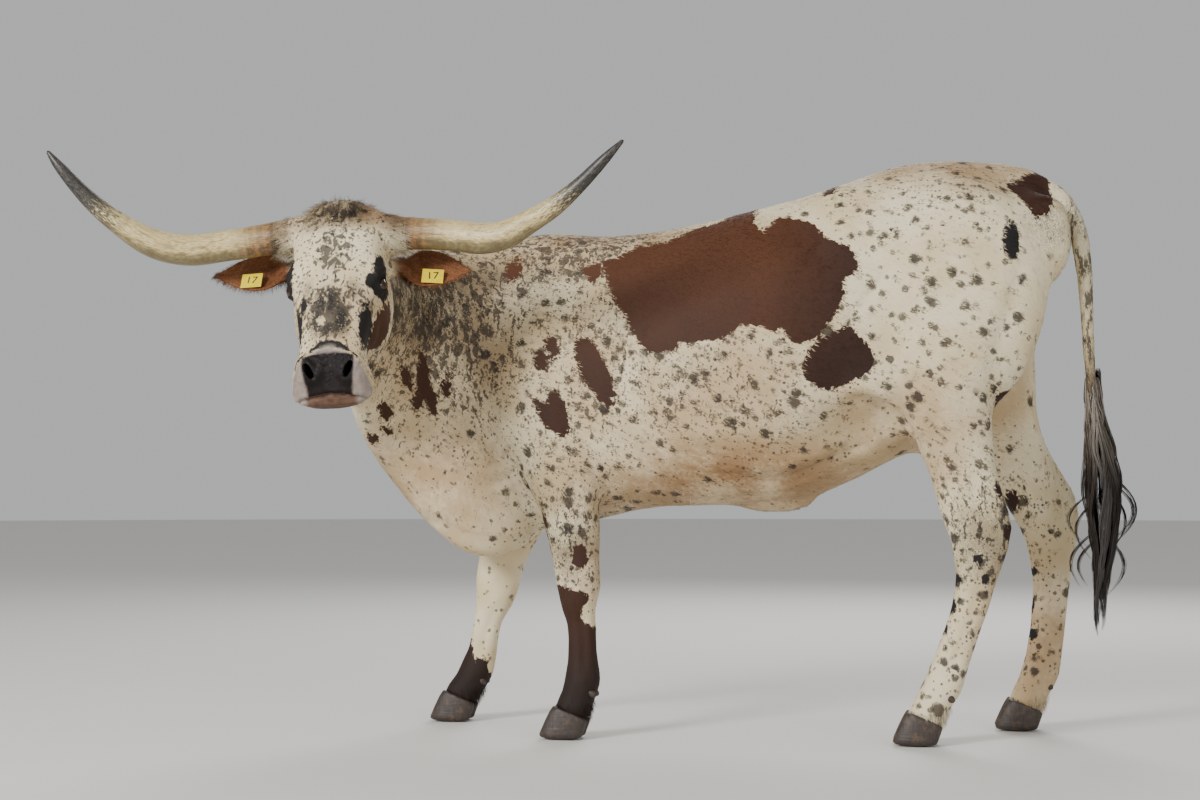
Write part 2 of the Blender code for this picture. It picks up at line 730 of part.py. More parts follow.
def region(name, planes, grow=0.0):
    """A convex solid inside the planes given by a point and an outward direction each."""
    bm = bmesh.new()
    bmesh.ops.create_cube(bm, size=6.0)
    for point, outward in planes:
        outward = Vector(outward).normalized()
        place = Vector(point) + outward * grow
        everything = bm.verts[:] + bm.edges[:] + bm.faces[:]
        bmesh.ops.bisect_plane(bm, geom=everything, plane_co=place, plane_no=outward, clear_outer=True)
        bmesh.ops.holes_fill(bm, edges=bm.edges)
    bmesh.ops.recalc_face_normals(bm, faces=bm.faces)
    return mesh_object(name, bm)


HEAD_CUT = ((0.0, -0.458, 1.10), (0.0, 1.0, -0.12))
NECK_CUT = ((-0.160, 0.0, 1.300), (-0.70, 0.0, 0.26))


def behind(plane):
    point, outward = plane
    return (point, tuple(-value for value in outward))


def regions(side_names=("left", "right")):
    """The planes of each flesh node but the torso, which is what the others leave."""
    made = {
        "head": [HEAD_CUT],
        "neck": [behind(HEAD_CUT), behind(NECK_CUT)],
        "tail": [
            ((1.150, 0.0, 1.420), (-0.75, 0.0, 0.30)),
            ((0.0, 0.035, 0.0), (0, 1, 0)),
            ((0.0, -0.035, 0.0), (0, -1, 0)),
            ((1.205, 0.0, 1.0), (-1, 0, 0)),
        ],
    }
    for side, name in ((-1, side_names[0]), (1, side_names[1])):
        made[f"leg_front_{name}"] = [
            ((0, side * 0.112, 0), (0, -side, 0)),
            ((0, 0, 0.660), (0, 0, 1)),
            ((0.095, 0, 0), (1, 0, 0)),
            NECK_CUT,
        ]
        made[f"leg_hind_{name}"] = [
            ((0, side * 0.036, 0), (0, -side, 0)),
            ((0.745, 0, 0.840), (-0.40, 0, 1)),
            ((0.700, 0, 0), (-1, 0, 0)),
        ]
    return made


def boolean(obj, other, operation):
    modifier = obj.modifiers.new(operation, "BOOLEAN")
    modifier.operation = operation
    modifier.solver = "EXACT"
    modifier.object = other
    apply_modifiers(obj)
    bpy.data.objects.remove(other)
    keep_largest(obj)


def keep_largest(obj):
    """Leaves only the closed surface that holds the most volume."""
    bm = bmesh.new()
    bm.from_mesh(obj.data)
    bmesh.ops.triangulate(bm, faces=bm.faces)
    bmesh.ops.dissolve_degenerate(bm, dist=1e-6, edges=bm.edges)
    unseen = set(bm.verts)
    groups = []
    while unseen:
        stack = [unseen.pop()]
        group = set(stack)
        while stack:
            for edge in stack.pop().link_edges:
                for vert in edge.verts:
                    if vert in unseen:
                        unseen.discard(vert)
                        group.add(vert)
                        stack.append(vert)
        groups.append(group)

    def volume(group):
        faces = {face for vert in group for face in vert.link_faces}
        return abs(sum(f.verts[0].co.dot(f.verts[1].co.cross(f.verts[2].co)) for f in faces))

    groups.sort(key=volume, reverse=True)
    for group in groups[1:]:
        bmesh.ops.delete(bm, geom=list(group), context="VERTS")
    if bm.calc_volume(signed=True) < 0:
        bmesh.ops.reverse_faces(bm, faces=bm.faces)
    bm.to_mesh(obj.data)
    bm.free()


def copy_of(obj, name):
    made = bpy.data.objects.new(name, obj.data.copy())
    bpy.context.scene.collection.objects.link(made)
    return made


def foot_centre(name):
    """Where the leg's middle line crosses the coronet."""
    stations, y_top, y_foot = LEGS[name]
    below = stations[-1]
    above = stations[-2]
    t = (CORONET - below[1]) / (above[1] - below[1])
    x = below[0] + (above[0] - below[0]) * t
    return Vector((x, y_foot + (y_top - y_foot) * CORONET / stations[0][1], CORONET))


def flesh_nodes():
    """The head, the neck, the torso, the legs and the tail, as separate objects."""
    body = remeshed("body", body_pieces() + dewlap_and_neck() + skull_pieces(), BODY_VOXEL)
    relax(body, 70, body_share)
    sculpt_body(body)
    relax(body, 6, body_share)
    decimate(body, BODY_TRIANGLES)
    fine = remeshed("fine", dewlap_and_neck() + skull_pieces(), HEAD_VOXEL)
    relax(fine, 45, head_share)
    sculpt_head(fine)
    relax(fine, 2, head_share)
    boolean(fine, region("cutter", [((0, -0.30, 0), (0, 1, 0))]), "INTERSECT")
    decimate(fine, HEAD_TRIANGLES + 500)
    nodes = {}
    cut = regions()
    for name, planes in cut.items():
        piece = copy_of(fine if name == "head" else body, name)
        if name.startswith("leg"):
            foot = foot_centre(name)
            planes = planes + [(foot, (-CORONET_SLOPE, 0, -1))]
        if name == "tail":
            planes = planes + [((0, 0, SWITCH_TOP), (0, 0, -1))]
        boolean(piece, region("cutter", planes, -GAP / 2), "INTERSECT")
        nodes[name] = piece
    torso = copy_of(body, "torso")
    for name, planes in cut.items():
        if name == "head":
            continue
        wide = [behind(NECK_CUT)] if name == "neck" else planes
        boolean(torso, region("cutter", wide, GAP / 2), "DIFFERENCE")
    nodes["torso"] = torso
    bpy.data.objects.remove(body)
    bpy.data.objects.remove(fine)
    return nodes


def end_block(name, base, outward, reach, half):
    """A box beyond a plane, which trims a stump there."""
    outward = outward.normalized()
    side = outward.orthogonal().normalized()
    other = outward.cross(side)
    rings = []
    for distance in (0.0, reach):
        centre = base + outward * distance
        corners = ((1, 1), (1, -1), (-1, -1), (-1, 1))
        rings.append([centre + side * (half * i) + other * (half * j) for i, j in corners])
    return loft(name, rings)


def horn(name, stations):
    """A horn from its flat base, a hair past the stump's cut."""
    world = [(head_point(*place), radius) for place, radius in stations]
    outward = (world[1][0] - world[0][0]).normalized()
    world[0] = (world[0][0] + outward * GAP, world[0][1])
    rows = catmull_rom([(*centre, radius) for centre, radius in world], 2)
    centres = [Vector(row[:3]) for row in rows]
    rings = []
    for i, row in enumerate(rows):
        run = centres[min(i + 1, len(rows) - 1)] - centres[max(i - 1, 0)]
        if i == 0:
            run = outward
        other = run.cross(Vector((0, 1, 0.2))).normalized()
        side = other.cross(run).normalized()
        rings.append(section(centres[i], side, other, (row[3], row[3], row[3], 2, 2), 12))
    return loft(name, rings)


def ear(name, ends):
    """A leaf-shaped ear whose cup opens forward, on a round solid root."""
    root, length, run, face, width = ear_frame(ends)
    start = EAR_ROOT_SHARE
    stations = 12
    points_across = 7
    rings = []
    for i in range(stations):
        t = start + (1 - start) * i / (stations - 1)
        spread = math.sin(math.pi * min(t * 0.86 + 0.17, 1.0)) ** 0.75
        half = max(EAR_HALF_WIDTH * spread, 0.0065)
        cup = 0.025 * (1 - t) ** 0.8 + 0.0005
        opened = min(max((t - start) / 0.22, 0.0), 1.0)
        half = half * (0.55 + 0.45 * opened) if opened < 1 else half
        front = -cup * opened + 0.020 * (1 - opened)
        centre = root + run * (length * t) + face * (0.004 * opened)
        ring = []
        for k in range(points_across):
            s = -1 + 2 * k / (points_across - 1)
            curve = 1 - s * s
            ring.append(centre + width * (half * s) - face * (cup * curve + EAR_THICKNESS / 2))
        for k in range(points_across):
            s = 1 - 2 * k / (points_across - 1)
            curve = 1 - s * s
            ring.append(centre + width * (half * s) + face * (front * curve + EAR_THICKNESS / 2))
        rings.append(ring)
    return loft(name, rings)


def claw(name, foot, side):
    """One half of a hoof: from the sloped coronet down to a flat sole, its toe forward."""
    rings = []
    levels = 4
    for i in range(levels):
        t = i / (levels - 1)
        half_length = 0.046 + (SOLE_HALF_LENGTH - 0.046) * t
        half_width = 0.0225 + (SOLE_HALF_WIDTH - 0.0225) * t
        ring = []
        for k in range(14):
            angle = 2 * math.pi * k / 14
            ahead = half_length * math.copysign(abs(math.cos(angle)) ** 0.85, math.cos(angle))
            across = half_width * math.copysign(abs(math.sin(angle)) ** 0.75, math.sin(angle))
            narrow = 1 - 0.38 * max(ahead / half_length, 0) ** 2 * t
            inner = side * math.sin(angle) < 0
            across = across * (1.0 if inner else narrow)
            x = -ahead - 0.030 * t
            top = CORONET - GAP / 2 - CORONET_SLOPE * x
            ring.append(
                Vector(
                    (
                        foot.x + x,
                        foot.y + across + side * (half_width + CLAW_CLEFT / 2),
                        top * (1 - t),
                    )
                )
            )
        rings.append(ring)
    return loft(name, rings)


def dewclaw_place(name, side):
    stations = LEGS[name][0]
    foot = foot_centre(name)
    x, z, _, depth = stations[-3]
    return Vector((x + depth * 0.86, foot.y + side * 0.024, z + 0.006))


def dewclaw(name, place, grow=0.0, fineness=1):
    axes = (Vector((0.80, 0, -0.60)), Vector((0, 1, 0)), Vector((0.60, 0, 0.80)))
    radii = (0.017 + grow, 0.011 + grow, 0.012 + grow)
    return ball(name, place, radii, axes, fineness)


def switch_row(z):
    """The switch at a height: the x of its middle, its core's radius and its locks' reach."""
    rows = SWITCH[::-1]
    heights = [row[1] for row in rows]
    return tuple(float(np.interp(z, heights, [row[k] for row in rows])) for k in (0, 2, 3))


def switch_core():
    rings = []
    for x, z, core, _ in SWITCH[:-2]:
        level = min(z, SWITCH_TOP - GAP / 2)
        sizes = (core, core, core, 2, 2)
        rings.append(section(Vector((x, 0, level)), Vector((0, 1, 0)), Vector((1, 0, 0)), sizes, 10))
    return loft("tail_switch", rings)


def switch_lock(turn, top, length, half_width, spread, sway):
    """One flat lock: its root sunk in the core, its blade bending down along the switch to a point."""
    rings = []
    root = switch_row(top)[1] - 0.007
    for t, wide, thick in LOCK_SHAPE:
        z = top - length * t
        middle, _, reach = switch_row(z)
        out = root + (max(reach * spread, 0.004) - root) * min(t / 0.30, 1.0) ** 0.8
        angle = turn + sway * math.sin(2.6 * t) + 0.12 * math.sin(9.0 * t + turn)
        radial = Vector((math.cos(angle), math.sin(angle), 0))
        across = Vector((-math.sin(angle), math.cos(angle), 0))
        place = Vector((middle, 0, z)) + radial * out
        half = half_width * wide
        rings.append(
            [
                place + across * half,
                place + radial * (LOCK_THICKNESS * thick),
                place - across * half,
                place - radial * (LOCK_THICKNESS * thick),
            ]
        )
    return loft("lock", rings)


def tail_switch():
    """The tail's long hair: a thin core with flat tapered locks in tiers down to the tip."""
    core = switch_core()
    locks = bpy.data.collections.new("switch locks")
    bpy.context.scene.collection.children.link(locks)
    for tier, (top, length, count) in enumerate(LOCK_TIERS):
        for i in range(count):
            turn = 2 * math.pi * (i + 0.5 * (tier % 2)) / count + random.uniform(-0.16, 0.16)
            made = switch_lock(
                turn,
                top - random.uniform(0.0, 0.030),
                length * random.uniform(0.86, 1.06),
                LOCK_HALF_WIDTH * random.uniform(0.85, 1.15),
                random.uniform(0.82, 1.04),
                random.uniform(-0.45, 0.45),
            )
            bpy.context.scene.collection.objects.unlink(made)
            locks.objects.link(made)
    union = core.modifiers.new("locks", "BOOLEAN")
    union.operation = "UNION"
    union.operand_type = "COLLECTION"
    union.solver = "EXACT"
    union.collection = locks
    apply_modifiers(core)
    for obj in list(locks.objects):
        bpy.data.objects.remove(obj)
    bpy.data.collections.remove(locks)
    keep_largest(core)
    return core


def ear_frame(ends):
    """Root, length and the ear's own axes: along it, out of its cup and across it."""
    root = head_point(*ends[0])
    tip = head_point(*ends[1])
    out = head_axes()[2]
    run = (tip - root).normalized()
    face = (out - run * out.dot(run)).normalized()
    return root, (tip - root).length, run, face, face.cross(run).normalized()


def block(name, centre, axes, half_sizes):
    """A box, its sides along the axes given."""
    bm = bmesh.new()
    bmesh.ops.create_cube(bm, size=2.0)
    for v in bm.verts:
        v.co = centre + sum((axis * (x * h) for axis, x, h in zip(axes, v.co, half_sizes)), Vector())
    if bm.calc_volume(signed=True) < 0:
        bmesh.ops.reverse_faces(bm, faces=bm.faces)
    return mesh_object(name, bm)


def rod(name, centre, axis, radius, low, high, count=12):
    """A short round bar along an axis, from one distance to another."""
    side = axis.orthogonal().normalized()
    other = axis.cross(side)
    rings = []
    for distance in (low, high):
        sizes = (radius, radius, radius, 2, 2)
        rings.append(section(centre + axis * distance, side, other, sizes, count))
    return loft(name, rings)


def tag(name, ends, ear_object):
    """A plate before the ear's cup, with a stud through the ear and a button behind it."""
    root, length, run, face, width = ear_frame(ends)
    if width.z > 0:
        width = -width
    centre = root + run * (length * TAG_ALONG) + width * TAG_DROP
    hit_back = surface_along(ear_object, centre - face * 0.2, face)
    back = (hit_back - centre).dot(face)
    plate_centre = centre + face * TAG_PLANE + width * 0.012
    axes = (run, width, face)
    made = block(name, plate_centre, axes, (TAG_WIDTH / 2, TAG_HEIGHT / 2, TAG_THICKNESS / 2))
    pin = rod("pin", centre, face, TAG_PIN, back - 0.004, TAG_PLANE)
    button = rod("button", centre, face, 0.012, back - 0.0055, back - 0.0030, 14)
    boolean(made, pin, "UNION")
    boolean(made, button, "UNION")
    hole = rod("cutter", centre, face, TAG_PIN + 0.0004, back - 0.05, TAG_PLANE + 0.05)
    boolean(ear_object, hole, "DIFFERENCE")
    return made


def surface_along(obj, start, direction):
    hit, place, _, _ = obj.ray_cast(start, direction)
    return place if hit else start + direction * 0.2


def material(name, colour, roughness, metallic=0.0):
    made = bpy.data.materials.new(name)
    made.use_nodes = True
    shader = made.node_tree.nodes["Principled BSDF"]
    shader.inputs["Base Color"].default_value = (*colour, 1.0)
    shader.inputs["Roughness"].default_value = roughness
    shader.inputs["Metallic"].default_value = metallic
    made.diffuse_color = (*colour, 1.0)
    return made


def main():
    clear_scene()
    random.seed(4)
    coat = material("haired hide", (0.74, 0.66, 0.52), 0.75)
    keratin = material("horn", (0.62, 0.50, 0.28), 0.40)
    claw_horn = material("claw horn", (0.09, 0.06, 0.05), 0.55)
    wet = material("eye", (0.02, 0.015, 0.012), 0.08)
    plastic = material("tag plastic", (0.83, 0.66, 0.05), 0.45)
    hair = material("long hair", (0.10, 0.085, 0.075), 0.70)
    nodes = flesh_nodes()
    for node in nodes.values():
        node.data.materials.clear()
        node.data.materials.append(coat)
    head = nodes["head"]
    for name, stations in (("horn_left", HORN_LEFT), ("horn_right", HORN_RIGHT)):
        made = horn(name, stations)
        made.data.materials.append(keratin)
        nodes[name] = made
        base = head_point(*stations[0][0])
        outward = head_point(*stations[1][0]) - base
        boolean(head, end_block("cutter", base, outward, 0.09, 0.06), "DIFFERENCE")
    for name, ends in (("ear_left", EAR_LEFT), ("ear_right", EAR_RIGHT)):
        made = ear(name, ends)
        made.data.materials.append(coat)
        nodes[name] = made
        root = head_point(*ends[0])
        outward = head_point(*ends[1]) - root
        base = root + outward * EAR_ROOT_SHARE - outward.normalized() * GAP
        boolean(head, end_block("cutter", base, outward, 0.07, 0.034), "DIFFERENCE")
        worn = tag(name.replace("ear", "tag"), ends, made)
        worn.data.materials.append(plastic)
        nodes[worn.name] = worn
    for name, side in (("eye_left", 1), ("eye_right", -1)):
        place = mirrored(EYE, side)
        eye = head_ball(name, place, (EYE_RADIUS,) * 3, 2)
        eye.data.materials.append(wet)
        nodes[name] = eye
        opening = head_point(*place) + head_gaze(side) * 0.020
        axes = lid_axes(side)
        boolean(head, ball("cutter", opening, (0.0205, 0.0125, 0.014), axes), "DIFFERENCE")
        boolean(head, nostril_cutter(side), "DIFFERENCE")
        boolean(head, head_ball("cutter", place, (EYE_RADIUS + GAP,) * 3, 2), "DIFFERENCE")
    boolean(head, mouth_cutter(), "DIFFERENCE")
    for name in LEGS:
        foot = foot_centre(name)
        for side, word in ((-1, "left"), (1, "right")):
            made = claw(f"claw_{name[4:]}_{word}", foot, side)
            made.data.materials.append(claw_horn)
            nodes[made.name] = made
            place = dewclaw_place(name, side)
            made = dewclaw(f"dewclaw_{name[4:]}_{word}", place)
            made.data.materials.append(claw_horn)
            nodes[made.name] = made
            boolean(nodes[name], dewclaw("cutter", place, GAP), "DIFFERENCE")
    switch = tail_switch()
    switch.data.materials.append(hair)
    for obj in bpy.context.scene.collection.objects:
        obj.location = BODY_SHIFT


def head_gaze(side):
    """The way that an eye looks: mostly to the side, and partly forward."""
    left, down_face, out = head_axes()
    return (left * (0.90 * side) + out * 0.42 - down_face * 0.10).normalized()


def lid_axes(side):
    """The eye slit's long way, its height and its depth."""
    left, down_face, out = head_axes()
    gaze = head_gaze(side)
    slit = (down_face * 0.80 + out * 0.45 - gaze * gaze.dot(down_face * 0.80 + out * 0.45)).normalized()
    return slit, gaze.cross(slit), gaze


if __name__ == "__main__":
    main()
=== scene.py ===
"""The looks of a standing longhorn steer: one skin with its coat, horns, eyes, claws, tags and stage.

Metres, +Z up. The steer faces -X and its left side faces -Y, towards the camera.
"""

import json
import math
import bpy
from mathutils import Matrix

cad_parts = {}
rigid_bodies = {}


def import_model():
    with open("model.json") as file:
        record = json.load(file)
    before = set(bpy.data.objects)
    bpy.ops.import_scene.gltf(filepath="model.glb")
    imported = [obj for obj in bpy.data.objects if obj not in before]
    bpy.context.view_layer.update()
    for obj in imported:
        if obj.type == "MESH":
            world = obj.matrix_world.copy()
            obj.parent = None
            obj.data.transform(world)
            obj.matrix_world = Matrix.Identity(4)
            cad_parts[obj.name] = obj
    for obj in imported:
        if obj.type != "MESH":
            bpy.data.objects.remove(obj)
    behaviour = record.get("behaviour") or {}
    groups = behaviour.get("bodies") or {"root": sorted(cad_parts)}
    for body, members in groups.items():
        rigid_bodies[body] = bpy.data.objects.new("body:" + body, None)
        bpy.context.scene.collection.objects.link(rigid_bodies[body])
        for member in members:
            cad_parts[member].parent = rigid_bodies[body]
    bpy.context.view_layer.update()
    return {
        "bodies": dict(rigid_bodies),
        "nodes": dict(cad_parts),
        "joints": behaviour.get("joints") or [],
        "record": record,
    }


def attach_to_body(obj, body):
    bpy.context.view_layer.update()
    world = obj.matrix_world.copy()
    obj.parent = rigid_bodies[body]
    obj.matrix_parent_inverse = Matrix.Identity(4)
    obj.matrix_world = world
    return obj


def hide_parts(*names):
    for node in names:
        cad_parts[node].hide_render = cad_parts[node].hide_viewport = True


bl_info = {
    "name": "Longhorn Steer",
    "version": (1, 0, 0),
    "blender": (4, 5, 0),
    "location": "View3D > Sidebar > Longhorn",
    "description": "Dresses a standing longhorn steer in skin, coat, horns, claws and ear tags",
    "category": "Add Mesh",
}

from functools import partial

import bmesh
import bpy
import numpy as np
from bpy.props import FloatProperty, FloatVectorProperty, PointerProperty
from mathutils import Matrix, Vector

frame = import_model()
NODES = frame["nodes"]

# The spine's plane, and how the body frame of the measurements below is moved onto the floor.
SPINE = 0.2669
SHIFT = Vector((-0.0621, SPINE, 0.0))

# The head: turned to its left, its face tipped from the vertical, its left side a little high.
HEAD_TURN = math.radians(94.5)
FACE_TIP = math.radians(34.0)
HEAD_ROLL = math.radians(3.8)
POLL = Vector((-0.544, -0.592, 1.309)) + SHIFT
EYE = (0.100, 0.212, -0.050)
EYE_RADIUS = 0.0197
NOSTRIL = (0.049, 0.457, -0.045)

# Horns in the head's frame (to its left, down the face, out of it), and their radius.
HORN_LEFT = (
    ((0.150, 0.041, -0.064), 0.0385),
    ((0.165, 0.043, -0.064), 0.0382),
    ((0.269, 0.059, -0.064), 0.0372),
    ((0.338, 0.080, -0.060), 0.0378),
    ((0.401, 0.089, -0.042), 0.0344),
    ((0.465, 0.083, -0.008), 0.0283),
    ((0.527, 0.071, 0.025), 0.0234),
    ((0.591, 0.046, 0.065), 0.0175),
    ((0.654, 0.015, 0.111), 0.0125),
    ((0.702, -0.017, 0.138), 0.0040),
)
HORN_RIGHT = (
    ((-0.150, 0.030, -0.058), 0.0388),
    ((-0.165, 0.032, -0.058), 0.0386),
    ((-0.284, 0.046, -0.055), 0.0374),
    ((-0.370, 0.062, -0.042), 0.0380),
    ((-0.451, 0.062, -0.006), 0.0347),
    ((-0.528, 0.033, 0.050), 0.0262),
    ((-0.585, -0.002, 0.098), 0.0202),
    ((-0.641, -0.052, 0.156), 0.0132),
    ((-0.670, -0.085, 0.184), 0.0040),
)
EAR_ROOTS = (0.125, -0.135)

# Meshing of the skin, and where its fine head is sewn to its body.
GROWTH = 0.0006
EAR_GROWTH = 0.0014
BODY_VOXEL = 0.0085
HEAD_VOXEL = 0.0030
BODY_TRIANGLES = 112000
HEAD_TRIANGLES = 146000
SEAM = -0.345 + SPINE
SEAM_GAP = 0.008
HEAD_NODES = ("head", "neck", "ear_left", "ear_right")
BODY_NODES = (
    "torso",
    "neck",
    "head",
    "tail",
    "leg_front_left",
    "leg_front_right",
    "leg_hind_left",
    "leg_hind_right",
)

# Outlines of the patches on the near side, as x and height.
SADDLE = (
    (-0.036, 1.214), (0.007, 1.227), (0.048, 1.254), (0.130, 1.265), (0.193, 1.301),
    (0.257, 1.318), (0.315, 1.362), (0.345, 1.375), (0.359, 1.311), (0.377, 1.278),
    (0.393, 1.300), (0.409, 1.323), (0.489, 1.314), (0.554, 1.253), (0.599, 1.239),
    (0.619, 1.195), (0.617, 1.167), (0.585, 1.152), (0.590, 1.124), (0.576, 1.086),
    (0.549, 1.039), (0.500, 0.992), (0.483, 0.989), (0.444, 1.004), (0.434, 1.034),
    (0.415, 1.017), (0.380, 1.034), (0.328, 1.040), (0.314, 1.018), (0.259, 0.999),
    (0.178, 0.995), (0.158, 0.971), (0.124, 0.964), (0.088, 0.982), (0.053, 1.031),
    (0.010, 1.105), (-0.021, 1.165),
)
DIAMOND = (
    (0.597, 1.039), (0.643, 0.990), (0.667, 0.946), (0.643, 0.913), (0.543, 0.874),
    (0.493, 0.901), (0.481, 0.937), (0.512, 0.989), (0.556, 1.022),
)
LONG = (
    (-0.073, 1.022), (-0.047, 1.008), (-0.009, 0.946), (0.023, 0.858), (0.002, 0.830),
    (-0.024, 0.851), (-0.070, 0.907), (-0.092, 0.960), (-0.099, 0.999),
)
HEART = (
    (-0.203, 0.867), (-0.164, 0.849), (-0.157, 0.879), (-0.142, 0.887), (-0.111, 0.846),
    (-0.108, 0.811), (-0.098, 0.778), (-0.105, 0.758), (-0.135, 0.768), (-0.171, 0.796),
    (-0.189, 0.826),
)
PENDANT = (
    (-0.478, 0.988), (-0.463, 0.957), (-0.462, 0.900), (-0.454, 0.855), (-0.472, 0.810),
    (-0.482, 0.835), (-0.484, 0.867), (-0.494, 0.842), (-0.512, 0.830), (-0.518, 0.854),
    (-0.499, 0.886), (-0.489, 0.936),
)
TAIL_HEAD = (
    (0.988, 1.397), (1.050, 1.440), (1.096, 1.430), (1.104, 1.367), (1.089, 1.322),
    (1.056, 1.303), (1.033, 1.343),
)
THIGH = ((0.953, 0.858), (0.975, 0.876), (1.010, 0.879), (1.005, 0.810), (0.982, 0.753), (0.964, 0.784))
NEAR_SOCK = (
    (-0.180, 0.400), (-0.141, 0.389), (-0.098, 0.380), (-0.062, 0.372), (-0.052, 0.350),
    (-0.080, 0.330), (-0.075, 0.300), (-0.045, 0.285), (0.020, 0.270), (0.020, -0.050),
    (-0.260, -0.050),
)
FAR_SOCK = (
    (-0.470, 0.240), (-0.442, 0.228), (-0.425, 0.168), (-0.396, 0.175), (-0.384, 0.125),
    (-0.330, 0.110), (-0.330, -0.050), (-0.600, -0.050),
)
# Round patches of the near side: x, height, half length, half height, lean in degrees.
NEAR_OVALS = (
    (-0.151, 0.992, 0.019, 0.039, 12),
    (-0.181, 0.957, 0.017, 0.033, 12),
    (-0.057, 1.187, 0.024, 0.026, 0),
    (-0.268, 1.201, 0.024, 0.036, -10),
    (-0.078, 0.461, 0.021, 0.031, 10),
    (-0.174, 0.553, 0.011, 0.021, 10),
    (-0.516, 0.910, 0.011, 0.031, 0),
    (-0.431, 0.893, 0.013, 0.031, -16),
    (-0.574, 0.830, 0.013, 0.023, 0),
    (-0.579, 0.780, 0.011, 0.012, 0),
    (-0.618, 0.762, 0.016, 0.015, 0),
    (0.963, 0.635, 0.013, 0.020, 0),
    (0.989, 0.527, 0.018, 0.027, 0),
    (0.542, 1.392, 0.020, 0.016, 30),
)
FAR_OVALS = (
    (-0.120, 0.930, 0.030, 0.055, -15),
    (-0.200, 1.060, 0.024, 0.034, 0),
    (0.720, 1.180, 0.045, 0.060, 25),
    (0.860, 0.960, 0.030, 0.040, 0),
    (1.003, 0.603, 0.016, 0.032, 0),
    (0.640, 0.800, 0.022, 0.030, 10),
)
# Black spots: x, height, half length, half height, and whether on the near side.
BLACK_SPOTS = (
    (0.995, 1.245, 0.022, 0.052, True),
    (0.859, 0.410, 0.012, 0.014, True),
    (0.929, 0.412, 0.012, 0.015, True),
    (0.913, 0.461, 0.024, 0.011, True),
    (0.845, 0.345, 0.012, 0.022, True),
    (0.826, 0.287, 0.011, 0.016, True),
    (1.061, 0.418, 0.010, 0.012, False),
    (1.058, 0.253, 0.014, 0.016, False),
    (1.056, 0.331, 0.007, 0.022, False),
)
# How thick the small markings stand over the sides: which kind, x, height, half sizes, strength.
SIDE_FIELDS = (
    ("spots", 0.84, 1.18, 0.46, 0.40, 1.05),
    ("spots", 0.38, 0.94, 0.50, 0.22, 1.30),
    ("spots", 0.76, 1.36, 0.30, 0.12, 0.85),
    ("spots", 0.06, 0.94, 0.32, 0.34, 1.15),
    ("spots", 0.88, 0.80, 0.26, 0.36, 1.10),
    ("spots", 0.92, 0.50, 0.24, 0.22, 1.40),
    ("spots", 0.92, 0.28, 0.30, 0.30, 1.00),
    ("spots", -0.12, 0.58, 0.17, 0.26, 1.35),
    ("flecks", -0.12, 1.02, 0.42, 0.44, 1.20),
    ("flecks", 0.25, 0.90, 0.54, 0.28, 1.10),
    ("flecks", 0.80, 1.40, 0.34, 0.12, 0.90),
    ("flecks", 0.92, 0.60, 0.30, 0.32, 0.90),
    ("flecks", 0.92, 0.28, 0.34, 0.34, 0.80),
    ("flecks", -0.14, 0.56, 0.20, 0.28, 1.00),
    ("flecks", -0.50, 0.76, 0.28, 0.22, 0.60),
    ("flecks", -0.42, 0.32, 0.18, 0.30, 0.50),
    ("dots", -0.14, 1.00, 0.46, 0.44, 0.75),
    ("dots", 0.20, 0.90, 0.56, 0.30, 0.45),
    ("dots", 0.92, 0.50, 0.24, 0.40, 0.55),
    ("dots", -0.12, 0.56, 0.18, 0.28, 1.00),
    ("dots", 0.80, 1.36, 0.36, 0.16, 0.45),
    ("streaks", -0.44, 1.06, 0.30, 0.36, 0.95),
    ("streaks", -0.10, 1.24, 0.44, 0.13, 0.95),
    ("streaks", -0.06, 0.96, 0.24, 0.30, 0.58),
    ("streaks", 0.20, 0.88, 0.42, 0.16, 0.48),
    ("streaks", 0.92, 0.54, 0.16, 0.20, 0.62),
    ("streaks", -0.12, 0.52, 0.12, 0.16, 0.60),
    # The ochre along the lower flank and belly is partly the hair's own tan and partly painted shade under
    # the flank folds.
    ("ochre", 0.30, 0.66, 0.46, 0.14, 1.10),
    ("ochre", 0.10, 0.62, 0.30, 0.12, 0.80),
    ("ochre", 0.30, 0.86, 0.46, 0.20, 0.45),
    ("ochre", -0.48, 0.66, 0.28, 0.20, 0.65),
    ("ochre", -0.05, 1.27, 0.38, 0.12, 0.75),
    # The ochre on the neck behind the head is partly its darker hair and partly painted shade of the head
    # over the neck.
    ("ochre", -0.42, 1.04, 0.30, 0.34, 0.55),
    ("ochre", -0.06, 0.96, 0.22, 0.30, 0.40),
    # Ochre under the rear flank fold: partly tan hair, partly painted shade under the fold.
    ("ochre", 0.72, 0.78, 0.26, 0.16, 0.55),
    ("ochre", 0.86, 1.44, 0.24, 0.08, 0.70),
    ("ochre", 1.06, 0.22, 0.18, 0.26, 0.70),
    ("ochre", -0.06, 0.42, 0.08, 0.10, 0.60),
    # The soot on the neck behind the head is partly its darker hair and partly painted shade of the head over
    # the neck.
    ("soot", -0.46, 1.10, 0.13, 0.14, 0.85),
    ("soot", -0.30, 1.17, 0.20, 0.07, 0.60),
    ("soot", -0.38, 0.98, 0.16, 0.26, 0.40),
    ("soot", 0.93, 0.50, 0.12, 0.12, 0.60),
    ("soot", -0.10, 0.48, 0.09, 0.12, 0.60),
    # Soot beside the root of the tail: partly roan, partly painted shade in the crease between buttock and
    # tail.
    ("soot", 1.08, 1.28, 0.06, 0.07, 1.00),
)
# Black marks of the face in the head's frame: its left, down the face, out, and half sizes.
FACE_BLACK = (
    (0.111, 0.188, -0.052, 0.036, 0.058, 0.052),
    (-0.112, 0.182, -0.052, 0.036, 0.062, 0.052),
    (0.092, 0.222, -0.034, 0.026, 0.026, 0.034),
    (0.077, 0.330, -0.048, 0.015, 0.072, 0.036),
    (-0.080, 0.335, -0.050, 0.017, 0.064, 0.036),
    (-0.066, 0.290, -0.015, 0.009, 0.022, 0.030),
)
